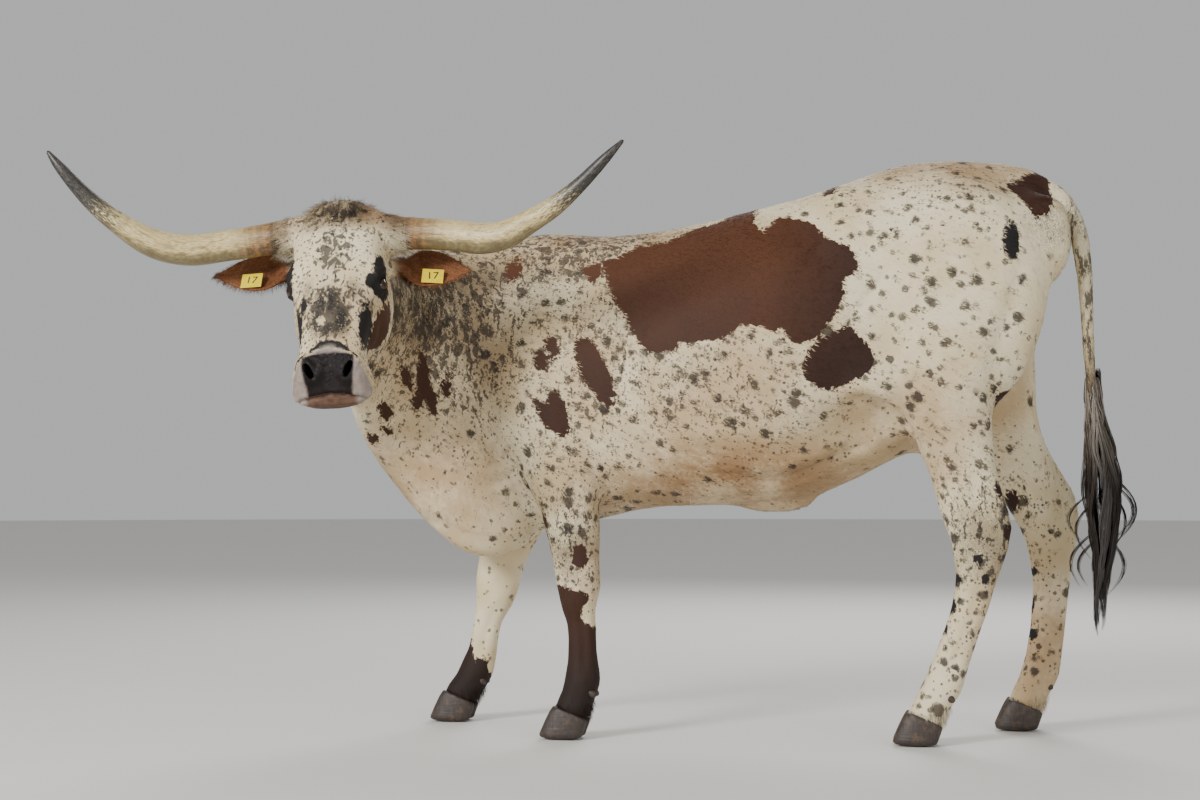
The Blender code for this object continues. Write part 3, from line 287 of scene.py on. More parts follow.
# Grey blotches of the face: to its left, down the face, half width, half length, strength.
FACE_SOOT = (
    (-0.003, 0.012, 0.040, 0.046, 1.00),
    (0.000, 0.085, 0.045, 0.045, 0.35),
    (0.000, 0.160, 0.034, 0.060, 0.55),
    (-0.008, 0.285, 0.040, 0.042, 1.30),
    (-0.032, 0.335, 0.020, 0.050, 1.30),
    (0.026, 0.340, 0.022, 0.050, 1.20),
    (-0.004, 0.368, 0.034, 0.018, 1.00),
    (0.052, 0.255, 0.018, 0.030, 0.70),
    (-0.056, 0.250, 0.018, 0.030, 0.70),
)
# Creases and swells of the trunk: depth out of the skin, half width, and its line as x and height.
FOLDS = (
    (-0.016, 0.015, ((0.600, 0.850), (0.645, 0.848), (0.690, 0.826), (0.728, 0.790), (0.752, 0.745))),
    (0.013, 0.021, ((0.590, 0.885), (0.650, 0.884), (0.705, 0.858), (0.750, 0.815), (0.785, 0.760))),
    (
        -0.011,
        0.013,
        ((0.280, 0.668), (0.372, 0.648), (0.450, 0.656), (0.518, 0.682), (0.575, 0.716), (0.640, 0.742)),
    ),
    (0.008, 0.020, ((0.330, 0.690), (0.430, 0.690), (0.510, 0.714), (0.575, 0.748))),
    (-0.012, 0.050, ((0.500, 1.240), (0.540, 1.200))),
    (0.012, 0.030, ((0.535, 1.385), (0.590, 1.405))),
    (0.006, 0.040, ((0.600, 1.330), (0.700, 1.240), (0.760, 1.140))),
    (-0.005, 0.022, ((1.030, 1.220), (1.000, 1.100), (0.965, 0.980), (0.945, 0.900))),
    (-0.005, 0.020, ((-0.300, 0.960), (-0.262, 0.860), (-0.235, 0.780))),
    (-0.006, 0.012, ((-0.350, 0.640), (-0.290, 0.655), (-0.235, 0.700))),
    (-0.005, 0.010, ((-0.400, 0.690), (-0.330, 0.690), (-0.260, 0.735))),
    (-0.005, 0.011, ((-0.470, 0.740), (-0.400, 0.735), (-0.320, 0.775))),
    (0.005, 0.030, ((-0.020, 1.180), (-0.080, 1.060), (-0.160, 0.940))),
    (-0.005, 0.020, ((0.050, 1.080), (0.030, 0.960), (0.020, 0.840))),
    (-0.004, 0.014, ((0.560, 1.000), (0.640, 1.100), (0.700, 1.180))),
)
# Grey streaks of the face: to its left, down the face, half width, half length, strength.
FACE_STREAKS = (
    (0.000, 0.150, 0.085, 0.150, 1.15),
    (-0.004, 0.315, 0.100, 0.120, 1.60),
    (-0.080, 0.300, 0.050, 0.130, 0.80),
    (0.080, 0.300, 0.050, 0.130, 0.80),
    (0.000, 0.015, 0.160, 0.100, 1.10),
)
HAIR_MARKS = ("spots", "flecks", "dots", "streaks", "ochre")
SMALL_MARKS = (*HAIR_MARKS, "soot")
FIELDS = ("patch", *SMALL_MARKS, "black", "ear", "pad", "rim", "lip")
# Layers of small round marks: cells to the metre, which field they follow, how much rarer, strength.
SPOT_LAYERS = (
    (21.0, "spots", 0.0, 0.90),
    (33.0, "spots", -0.10, 0.85),
    (64.0, "flecks", 0.0, 0.75),
    (100.0, "dots", 0.0, 0.85),
)
OUTSIDE = -0.05

# Depth of the coat over the skin: on the trunk, on the legs, on the face.
COAT_DEPTH = 0.0030
LEG_COAT = 0.0015
FACE_COAT = 0.0010
# The regions of the coat's pieces, and the most triangles of one piece.
REGIONS = ("shoulder", "barrel", "rump", "legs", "neck", "head")
PIECE_TRIANGLES = 190000
TUFT_TRIANGLES = 6
# Longer hair: its name, seed, least and greatest length, how unruly it is and how far it stands up.
LONG_HAIR = (
    ("shag", 21, 0.020, 0.036, 0.20, 0.22),
    ("fringe", 22, 0.007, 0.017, 0.20, 1.00),
    ("lining", 23, 0.010, 0.022, 0.22, 0.22),
    ("coronet", 24, 0.012, 0.020, 0.16, 0.20),
)

# The tail's long hair, downwards: height, x of its middle and how far its locks reach from it.
SWITCH = (
    (0.960, 1.203, 0.017),
    (0.880, 1.206, 0.017),
    (0.830, 1.208, 0.019),
    (0.780, 1.212, 0.026),
    (0.730, 1.218, 0.033),
    (0.680, 1.223, 0.038),
    (0.630, 1.226, 0.040),
    (0.580, 1.228, 0.038),
    (0.530, 1.227, 0.035),
    (0.477, 1.226, 0.028),
    (0.427, 1.222, 0.021),
    (0.376, 1.219, 0.018),
    (0.325, 1.217, 0.017),
    (0.275, 1.213, 0.012),
    (0.235, 1.209, 0.004),
)
# Tiers of locks: height of their roots, their length and number.
SWITCH_TIERS = (
    (0.950, 0.20, 9),
    (0.900, 0.26, 9),
    (0.840, 0.31, 9),
    (0.770, 0.34, 9),
    (0.690, 0.34, 8),
    (0.600, 0.32, 6),
)
# Loose curls: height of root and end, how far they bow to the rear, to the side, and their tip's shift.
SWITCH_CURLS = (
    (0.690, 0.470, 0.086, 0.012, 0.005),
    (0.670, 0.490, 0.072, -0.020, 0.010),
    (0.650, 0.450, 0.062, 0.022, -0.004),
    (0.640, 0.480, -0.076, 0.006, -0.030),
    (0.620, 0.450, -0.062, -0.016, -0.026),
    (0.540, 0.380, -0.064, 0.010, -0.056),
    (0.520, 0.385, -0.052, -0.018, -0.040),
    (0.520, 0.360, 0.050, 0.006, 0.006),
)

TAG_NUMBER = "17"
TAG_NUMBER_HEIGHT = 0.030

# The camera, which matches the photo's view, and the lights: name, place, aim, width, watts.
CAMERA_PLACE = Vector((0.860, -5.432, 0.655)) + SHIFT
CAMERA_TURN = math.radians(9.0)
CAMERA_TIP = math.radians(2.19)
CAMERA_LENS = 62.7
LIGHTS = (
    ("key", (-3.6, -6.0, 3.6), (0.1, 0.2, 0.9), 2.2, 560.0),
    ("fill", (4.6, -5.2, 2.6), (0.3, 0.2, 0.8), 3.6, 110.0),
    ("rim", (1.0, 5.6, 4.6), (0.2, 0.3, 1.0), 3.2, 240.0),
)

# Settings shared by many shader nodes.
MIX = {"data_type": "RGBA", "out": 2}
SOFT = {"interpolation_type": "SMOOTHSTEP"}
PLUS = {"operation": "ADD"}
LESS = {"operation": "SUBTRACT"}
TIMES = {"operation": "MULTIPLY"}
TIMES_PLUS = {"operation": "MULTIPLY_ADD"}


def linear(code):
    """An sRGB hex colour as linear red, green and blue."""
    values = [int(code[i : i + 2], 16) / 255 for i in (1, 3, 5)]
    return tuple(v / 12.92 if v <= 0.04045 else ((v + 0.055) / 1.055) ** 2.4 for v in values)


class LonghornCoat(bpy.types.PropertyGroup):
    cream: FloatVectorProperty(
        name="Cream", description="Ground colour of the coat", subtype="COLOR", default=linear("#E4D6B4")
    )
    chestnut: FloatVectorProperty(
        name="Chestnut", description="Colour of the patches", subtype="COLOR", default=linear("#58321A")
    )
    hair_length: FloatProperty(
        name="Hair length", description="Length of the short hair", default=0.015, min=0.004, unit="LENGTH"
    )
    hair_width: FloatProperty(
        name="Tuft width", description="Width of one tuft of hair", default=0.0022, min=0.0005, unit="LENGTH"
    )
    tufts: FloatProperty(
        name="Tufts", description="Tufts to the square metre of the trunk", default=30000, min=100
    )


class LonghornSwitch(bpy.types.PropertyGroup):
    strand_width: FloatProperty(
        name="Strand width",
        description="Width of one strand of the tail",
        default=0.0016,
        min=0.0003,
        unit="LENGTH",
    )
    strands: FloatProperty(name="Strands", description="Strands in each lock", default=42, min=4)


def head_axes():
    """The head's own frame: to its left, down the face, out of the forehead."""
    ahead = Vector((-math.cos(HEAD_TURN), -math.sin(HEAD_TURN), 0))
    left = Vector((-ahead.y, ahead.x, 0))
    down_face = -Vector((0, 0, math.cos(FACE_TIP))) + ahead * math.sin(FACE_TIP)
    out = Vector((0, 0, math.sin(FACE_TIP))) + ahead * math.cos(FACE_TIP)
    roll = Matrix.Rotation(HEAD_ROLL, 3, ahead)
    return roll @ left, roll @ down_face, roll @ out


def head_matrix():
    """The head's axes as the rows of an array."""
    return np.array([list(axis) for axis in head_axes()])


def head_point(a, b, c):
    left, down_face, out = head_axes()
    return POLL + left * a + down_face * b + out * c


def head_coordinates(points):
    return (points - np.array(POLL)) @ head_matrix().T


def eye_frame(side):
    """The middle of an eye, the way it looks, the long way of its lids and the way across them."""
    left, down_face, out = head_axes()
    gaze = (left * (0.90 * side) + out * 0.42 - down_face * 0.10).normalized()
    slit = (down_face * 0.80 + out * 0.45).normalized()
    slit = (slit - gaze * gaze.dot(slit)).normalized()
    return head_point(EYE[0] * side, EYE[1], EYE[2]), gaze, slit, gaze.cross(slit)


def mouth_line(side, b):
    """How far out of the face the lips part, by the way to the side and down the face."""
    front = np.interp(side, (0.0, 0.042, 0.073, 0.085), (-0.074, -0.079, -0.090, -0.103))
    back = np.interp(b, (0.408, 0.440, 0.470, 0.500), (-0.114, -0.109, -0.101, -0.060))
    return np.minimum(front, back)


def smooth(low, high, values):
    t = np.clip((values - low) / (high - low), 0, 1)
    return t * t * (3 - 2 * t)


def bump(distance):
    """1 in the middle, falling smoothly to 0 at a distance of 1."""
    t = np.clip(1 - distance**2, 0, 1)
    return t * t


def unit(vectors):
    return vectors / np.maximum(np.linalg.norm(vectors, axis=-1, keepdims=True), 1e-9)


def catmull_rom(rows, steps):
    """Rows of numbers with smooth rows put between them."""
    rows = np.array(rows, float)
    padded = np.vstack([rows[:1], rows, rows[-1:]])
    made = []
    for a, b, c, d in zip(padded, padded[1:], padded[2:], padded[3:]):
        for step in range(steps):
            t = step / steps
            bend = (2 * a - 5 * b + 4 * c - d) * t**2 + (3 * b - a - 3 * c + d) * t**3
            made.append(0.5 * (2 * b + (c - a) * t + bend))
    made.append(rows[-1])
    return np.array(made)


def outline_depth(flat, outline):
    """How far inside an outline each flat point lies; below 0 outside it."""
    corners = np.array(outline)
    nearest = np.full(len(flat), 9.0)
    inside = np.zeros(len(flat), bool)
    for a, b in zip(corners, np.roll(corners, -1, axis=0)):
        edge = b - a
        offset = flat - a
        share = np.clip(offset @ edge / (edge @ edge), 0, 1)
        gap = offset - share[:, None] * edge
        nearest = np.minimum(nearest, np.hypot(gap[:, 0], gap[:, 1]))
        if a[1] != b[1]:
            crossing = a[0] + (flat[:, 1] - a[1]) * edge[0] / edge[1]
            inside ^= ((a[1] > flat[:, 1]) != (b[1] > flat[:, 1])) & (flat[:, 0] < crossing)
    return np.where(inside, nearest, -nearest)


def oval_depth(flat, x, z, half_length, half_height, lean=0):
    angle = math.radians(lean)
    dx = flat[:, 0] - x
    dz = flat[:, 1] - z
    u = dx * math.cos(angle) + dz * math.sin(angle)
    v = dz * math.cos(angle) - dx * math.sin(angle)
    return (1 - np.hypot(u / half_length, v / half_height)) * min(half_length, half_height)


def moved(outline, about, scale, shift):
    """An outline scaled about a point and moved; a scale below 0 also mirrors it."""
    return [((x - about[0]) * scale + shift[0], (z - about[1]) * abs(scale) + shift[1]) for x, z in outline]


def coat_fields(points):
    """What marks the coat at each point: patches as a depth in metres, the rest from 0 to 1."""
    x, y, z = points.T
    flat = np.stack([x, z], axis=1)
    near = SPINE - y
    patch = np.full(len(points), OUTSIDE)

    def mark(depth, room):
        np.maximum(patch, np.minimum(depth, room), out=patch)

    mark(outline_depth(flat, SADDLE), near + 0.07)
    mark(outline_depth(flat, TAIL_HEAD), near + 0.02)
    for outline in (DIAMOND, LONG, HEART, PENDANT, THIGH, NEAR_SOCK):
        mark(outline_depth(flat, outline), near)
    for oval in NEAR_OVALS:
        mark(oval_depth(flat, *oval), near)
    for outline in (
        moved(SADDLE, (0.30, 1.16), -0.78, (0.16, 1.07)),
        moved(DIAMOND, (0.57, 0.95), 1.25, (0.66, 1.02)),
        moved(LONG, (-0.04, 0.93), -0.9, (-0.16, 0.76)),
        FAR_SOCK,
    ):
        mark(outline_depth(flat, outline), -near)
    for oval in FAR_OVALS:
        mark(oval_depth(flat, *oval), -near)
    found = {name: np.zeros(len(points)) for name in FIELDS}
    for name, fx, fz, half_length, half_height, strength in SIDE_FIELDS:
        value = strength * bump(np.hypot((x - fx) / half_length, (z - fz) / half_height) * 0.72)
        np.maximum(found[name], value, out=found[name])
    found["spots"] = np.maximum(found["spots"], 0.14)
    found["flecks"] = np.maximum(found["flecks"], 0.16)
    black = np.full(len(points), OUTSIDE)
    for sx, sz, half_length, half_height, on_near in BLACK_SPOTS:
        depth = oval_depth(flat, sx, sz, half_length, half_height)
        np.maximum(black, np.minimum(depth, near if on_near else -near), out=black)
    rear = smooth(0.98, 1.10, x) * smooth(1.36, 1.25, z) * smooth(0.60, 0.75, z)
    tail = smooth(1.135, 1.155, x) * smooth(0.7, 0.75, z)
    inner = smooth(0.115, 0.06, np.abs(y - SPINE)) * smooth(0.60, 0.75, x) * smooth(1.0, 0.9, z)
    found["spots"] *= 1 - 0.8 * inner
    found["flecks"] *= 1 - 0.8 * inner
    found["streaks"] *= 1 - inner
    found["ochre"] = np.maximum(found["ochre"], 0.5 * inner)
    found["spots"] *= 1 - 0.75 * rear
    found["flecks"] *= 1 - 0.5 * rear
    found["streaks"] = np.maximum(found["streaks"], 0.75 * tail)
    found["soot"] = np.maximum(found["soot"], tail * (0.25 + 0.75 * smooth(1.02, 0.84, z)))
    head_fields(points, found, patch, black)
    found["patch"] = np.clip(patch, OUTSIDE, -OUTSIDE)
    found["black"] = np.clip(black, OUTSIDE, -OUTSIDE)
    return found


def head_share(points):
    """1 on the head, 0 on the neck behind it."""
    y = points[:, 1] - SPINE
    return smooth(-0.455, -0.485, y - 0.12 * (points[:, 2] - 1.10))


def head_fields(points, found, patch, black):
    """The head's own marks, put in place of the body's."""
    a, b, c = head_coordinates(points).T
    side = np.abs(a)
    share = head_share(points)
    on = share > 0.5
    patch[on] = OUTSIDE
    for name in SMALL_MARKS:
        found[name] *= 1 - share

    def put(name, value):
        found[name] = np.maximum(found[name], value * share)

    def spot(pa, pb, half_a, half_b):
        return bump(np.hypot((a - pa) / half_a, (b - pb) / half_b))

    put("flecks", 0.70)
    put("spots", 0.20)
    put("dots", 0.80)
    put("streaks", 0.40)
    for pa, pb, half_a, half_b, strength in FACE_STREAKS:
        put("streaks", strength * spot(pa, pb, half_a, half_b))
    put("ochre", 0.90 * smooth(0.100, 0.02, b))
    put("soot", 0.50 * smooth(0.085, 0.115, side) * smooth(0.120, 0.06, b))
    put("ochre", 0.30 * smooth(0.16, 0.30, b))
    for pa, pb, half_a, half_b, strength in FACE_SOOT:
        put("soot", strength * spot(pa, pb, half_a * 1.4, half_b * 1.4))

    # Two calm pale places over the eyes, and a white spot low on the face.
    calm = np.maximum(spot(-0.096, 0.135, 0.050, 0.060), spot(0.088, 0.140, 0.050, 0.065))
    white = spot(-0.020, 0.338, 0.017, 0.017)
    pale = np.maximum(np.minimum(1.6 * calm, 0.9), np.minimum(2.0 * white, 1.0))
    for name in ("streaks", "soot"):
        found[name] *= 1 - pale * share

    for pa, pb, pc, half_a, half_b, half_c in FACE_BLACK:
        reach = np.sqrt(((a - pa) / half_a) ** 2 + ((b - pb) / half_b) ** 2 + ((c - pc) / half_c) ** 2)
        black[on] = np.maximum(black, (1 - reach) * min(half_a, half_b))[on]
    cheek = (a > 0.045) & (c < -0.045)
    brown = oval_depth(np.stack([c, b], axis=1), -0.112, 0.335, 0.040, 0.120)
    patch[on] = np.maximum(patch, np.where(cheek, brown, OUTSIDE))[on]

    # The dark band over the muzzle, the line of the mouth painted black as the shade in the lips' parting,
    # and the parts of the muzzle.
    crest = 0.402 + 8.0 * a**2
    band = np.maximum(0.0105 - 3.0 * a**2, 0.0030) - np.abs(b - crest) - 0.30 * np.clip(side - 0.078, 0, None)
    black[on] = np.maximum(black, np.where(c > -0.085, band, OUTSIDE))[on]
    mouth = mouth_line(side, b)
    above = smooth(-0.002, 0.002, c - mouth)
    line = 0.0072 - np.abs(c - mouth) - 0.4 * np.clip(0.40 - b, 0, 1)
    black[on] = np.maximum(black, np.where(b > 0.39, line, OUTSIDE))[on]
    pad = np.minimum(0.061 - side - 0.22 * np.clip(b - 0.465, 0, 1), b - 0.424 - 3.2 * a**2)
    found["pad"] = smooth(-0.003, 0.003, pad) * above * share
    found["rim"] = smooth(crest + 0.004, crest + 0.013, b) * above * share
    below = smooth(0.400, 0.430, b) * (1 - above) * share
    found["lip"] = below * smooth(0.064, 0.052, side)
    found["rim"] = np.maximum(found["rim"], below)
    nostrils = np.zeros(len(points))
    for mirror in (1, -1):
        place = np.array(head_point(NOSTRIL[0] * mirror, NOSTRIL[1], NOSTRIL[2]))
        nostrils = np.maximum(nostrils, bump(np.linalg.norm(points - place, axis=1) / 0.042))
    found["soot"] = np.maximum(found["soot"] * (1 - found["rim"]), nostrils * above * share)

    for root in EAR_ROOTS:
        ear = smooth(abs(root) - 0.022, abs(root) + 0.012, a * np.sign(root))
        ear = ear * smooth(-0.085, -0.100, c) * smooth(0.215, 0.19, b)
        found["ear"] = np.maximum(found["ear"], ear * share)
    for name in SMALL_MARKS:
        found[name] *= 1 - found["ear"]
    for name in HAIR_MARKS:
        found[name] *= 1 - np.maximum(found["rim"], found["lip"])
    black[found["ear"] > 0.5] = OUTSIDE
    patch[found["ear"] > 0.5] = OUTSIDE


def vertices_of(mesh):
    points = np.empty(len(mesh.vertices) * 3)
    mesh.vertices.foreach_get("co", points)
    return points.reshape(-1, 3)


def normals_of(mesh):
    normals = np.empty(len(mesh.vertices) * 3)
    mesh.vertices.foreach_get("normal", normals)
    return normals.reshape(-1, 3)


def put_points(mesh, points):
    mesh.vertices.foreach_set("co", points.ravel())
    mesh.update()


def relax(mesh, rounds, share):
    """Moves each vertex towards the mean of its neighbours, by its own share."""
    points = vertices_of(mesh)
    ends = np.empty(len(mesh.edges) * 2, dtype=np.int32)
    mesh.edges.foreach_get("vertices", ends)
    ends = ends.reshape(-1, 2)
    first = np.concatenate([ends[:, 0], ends[:, 1]])
    second = np.concatenate([ends[:, 1], ends[:, 0]])
    count = np.bincount(first, minlength=len(points))
    step = share(points)[:, None]
    for _ in range(rounds):
        sums = [np.bincount(first, points[second, k], len(points)) for k in range(3)]
        points = points + step * (np.stack(sums, axis=1) / count[:, None] - points)
    put_points(mesh, points)


def attach(mesh, values):
    """Writes each array as an attribute of the mesh's vertices."""
    for name, array in values.items():
        kind = "FLOAT_VECTOR" if array.ndim == 2 else "FLOAT"
        attribute = mesh.attributes.new(name, kind, "POINT")
        key = "vector" if array.ndim == 2 else "value"
        attribute.data.foreach_set(key, array.astype(np.float32).ravel())


def mesh_of(name, bm):
    mesh = bpy.data.meshes.new(name)
    bm.to_mesh(mesh)
    bm.free()
    return mesh


def placed(name, data):
    """A new object in the scene."""
    obj = bpy.data.objects.new(name, data)
    bpy.context.scene.collection.objects.link(obj)
    return obj


def object_of(name, bm):
    return placed(name, mesh_of(name, bm))


def evaluated_mesh(obj):
    """What an object's modifiers or its text make of it, as a mesh."""
    graph = bpy.context.evaluated_depsgraph_get()
    graph.update()
    return bpy.data.meshes.new_from_object(obj.evaluated_get(graph))


def solid_of(name):
    """The shape of a CAD solid, its vertices merged."""
    bm = bmesh.new()
    bm.from_mesh(NODES[name].data)
    bmesh.ops.remove_doubles(bm, verts=bm.verts, dist=1e-5)
    return bm


def finish_piece(obj, material, slot, *nodes):
    """Gives a piece its material, hangs it on the root body, and hides the solids that it stands for."""
    obj.data.materials.clear()
    obj.data.materials.append(material)
    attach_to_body(obj, "root")
    if nodes:
        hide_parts(*nodes)


def flesh(names):
    """The solids named, merged and grown a little so that they run into each other."""
    joined = bmesh.new()
    for name in names:
        part = solid_of(name)
        part.normal_update()
        more = EAR_GROWTH if name.startswith("ear") else GROWTH
        for vert in part.verts:
            vert.co += vert.normal * more
        mesh = mesh_of("part", part)
        joined.from_mesh(mesh)
        bpy.data.meshes.remove(mesh)
    return joined


def modified(name, mesh, kind, **settings):
    """The mesh that one modifier makes of another mesh."""
    obj = placed(name, mesh)
    modifier = obj.modifiers.new(name, kind)
    for key, value in settings.items():
        setattr(modifier, key, value)
    made = evaluated_mesh(obj)
    bpy.data.objects.remove(obj)
    bpy.data.meshes.remove(mesh)
    return made


def remeshed(name, bm, voxel):
    return modified(name, mesh_of(name, bm), "REMESH", mode="VOXEL", voxel_size=voxel)


def thinned(mesh, triangles):
    """Fewer triangles, taken first where the surface is flat."""
    mesh.calc_loop_triangles()
    ratio = triangles / len(mesh.loop_triangles)
    return modified("thinned", mesh, "DECIMATE", ratio=min(ratio, 1.0))


def body_share(points):
    """Strong on the trunk and neck, light on the legs and the tail."""
    x, _, z = points.T
    share = 0.06 + 0.54 * smooth(0.52, 0.86, z)
    return share * (1 - 0.93 * smooth(1.06, 1.13, x) * smooth(1.43, 1.38, z))


def neck_share(points):
    return 0.6 * smooth(-0.47, -0.42, points[:, 1] - SPINE)


def face_share(points):
    return np.full(len(points), 0.34)


def seam_share(points):
    return 0.6 * bump((points[:, 1] - SEAM) / 0.07)


def half_of(mesh, outward):
    """The part of a mesh on one side of the seam's plane."""
    bm = bmesh.new()
    bm.from_mesh(mesh)
    bpy.data.meshes.remove(mesh)
    place = Vector((0, SEAM - outward * SEAM_GAP / 2, 0))
    everything = bm.verts[:] + bm.edges[:] + bm.faces[:]
    bmesh.ops.bisect_plane(bm, geom=everything, plane_co=place, plane_no=(0, outward, 0), clear_outer=True)
    return bm


def skin_mesh():
    """A coarse body and a fine head, remeshed from the solids and sewn together behind the head."""
    body = remeshed("body", flesh(BODY_NODES), BODY_VOXEL)
    relax(body, 16, body_share)
    body = thinned(body, BODY_TRIANGLES)
    head = remeshed("head", flesh(HEAD_NODES), HEAD_VOXEL)
    relax(head, 140, neck_share)
    relax(head, 4, face_share)
    head = thinned(head, HEAD_TRIANGLES)
    bm = half_of(body, -1)
    fine = mesh_of("fine", half_of(head, 1))
    bm.from_mesh(fine)
    bpy.data.meshes.remove(fine)
    rim = [edge for edge in bm.edges if edge.is_boundary]
    bmesh.ops.bridge_loops(bm, edges=rim)
    bmesh.ops.triangulate(bm, faces=[face for face in bm.faces if len(face.verts) > 4])
    joined = mesh_of("skin", bm)
    relax(joined, 12, seam_share)
    return joined


def sculpture(points):
    """How far each point of the skin is moved outwards, for folds, hollows and tendons."""
    x, y, z = points.T
    flat = np.stack([x, z], axis=1)
    out = np.zeros(len(points))
    away = smooth(0.05, 0.12, np.abs(y - SPINE))
    for depth, width, line in FOLDS:
        rows = catmull_rom(line, 5) if len(line) > 2 else np.array(line)
        nearest = np.full(len(points), 9.0)
        taper = np.zeros(len(points))
        for i, (first, last) in enumerate(zip(rows, rows[1:])):
            edge = last - first
            share = np.clip((flat - first) @ edge / (edge @ edge), 0, 1)
            gap = np.linalg.norm(flat - first - share[:, None] * edge, axis=1)
            along = (i + share) / (len(rows) - 1)
            closer = gap < nearest
            taper = np.where(closer, np.sin(np.pi * np.clip(along * 0.94 + 0.03, 0, 1)) ** 0.5, taper)
            nearest = np.minimum(gap, nearest)
        out += depth * np.exp(-((nearest / width) ** 2)) * taper * away
    out *= 1 - head_share(points)
    return out + tendons(points) + face_relief(points)


def face_relief(points):
    """The lips' parting, the nostrils' rims, the groove of the nose and the lids' folds."""
    a, b, c = head_coordinates(points).T
    side = np.abs(a)
    parting = c - mouth_line(side, b)
    out = -0.0055 * np.exp(-((parting / 0.0032) ** 2)) * smooth(0.395, 0.420, b)
    out += 0.0025 * np.exp(-(((parting - 0.010) / 0.006) ** 2)) * smooth(0.420, 0.450, b)
    ring = np.hypot((side - NOSTRIL[0]) / 0.030, (b - NOSTRIL[1]) / 0.026)
    out += 0.0035 * np.exp(-(((ring - 1.05) / 0.28) ** 2)) * smooth(-0.085, -0.070, c)
    out -= 0.0030 * np.exp(-((side / 0.006) ** 2)) * smooth(0.425, 0.445, b) * smooth(-0.076, -0.066, c)
    eye = np.hypot((b - EYE[1]) / 0.040, (c - EYE[2]) / 0.032)
    out += 0.0022 * np.exp(-(((eye - 1.15) / 0.16) ** 2)) * smooth(0.06, 0.08, side)
    return out * head_share(points)


def tendons(points):
    """Grooves before the tendons at the back of each shin, placed by the leg's own breadth."""
    x, y, z = points.T
    out = np.zeros(len(points))
    levels = np.arange(0.08, 0.60, 0.02)
    for side in (-1, 1):
        for front, low, high in ((True, 0.16, 0.34), (False, 0.17, 0.46)):
            leg = ((y - SPINE) * side > 0) & ((x < 0.3) == front) & (z < 0.62)
            edges = [np.percentile(x[leg & (abs(z - level) < 0.015)], (2, 98)) for level in levels]
            fore, rear = (np.interp(z, levels, edge) for edge in np.array(edges).T)
            share = (x - fore) / np.maximum(rear - fore, 0.01)
            groove = np.exp(-(((share - 0.60) / 0.13) ** 2))
            groove *= smooth(low, low + 0.05, z) * smooth(high, high - 0.05, z)
            out -= 0.0045 * groove * leg
    return out


def coat_depth(points):
    """How far the skin lies below the coat's outer face."""
    x, _, z = points.T
    depth = COAT_DEPTH - (COAT_DEPTH - LEG_COAT) * smooth(0.60, 0.45, z)
    depth = depth - (depth - LEG_COAT) * smooth(1.14, 1.16, x)
    return depth - (depth - FACE_COAT) * head_share(points)


def feed(node, inputs):
    """Gives a shader node its inputs: a socket is linked, a value is set."""
    for key, value in inputs.items():
        if isinstance(value, bpy.types.NodeSocket):
            node.id_data.links.new(value, node.inputs[key])
        else:
            node.inputs[key].default_value = value


def add(tree, kind, inputs=(), out=0, **settings):
    """Adds one shader node with its inputs and settings, and returns one of its outputs."""
    made = tree.nodes.new("ShaderNode" + kind)
    for key, value in settings.items():
        setattr(made, key, value)
    feed(made, inputs if isinstance(inputs, dict) else dict(enumerate(inputs)))
    return made.outputs[out]


def new_material(name):
    """A material, what adds nodes to it, and its shader."""
    made = bpy.data.materials.new(name)
    made.use_nodes = True
    return made, partial(add, made.node_tree), made.node_tree.nodes["Principled BSDF"]


def colour(code):
    return (*linear(code), 1.0)


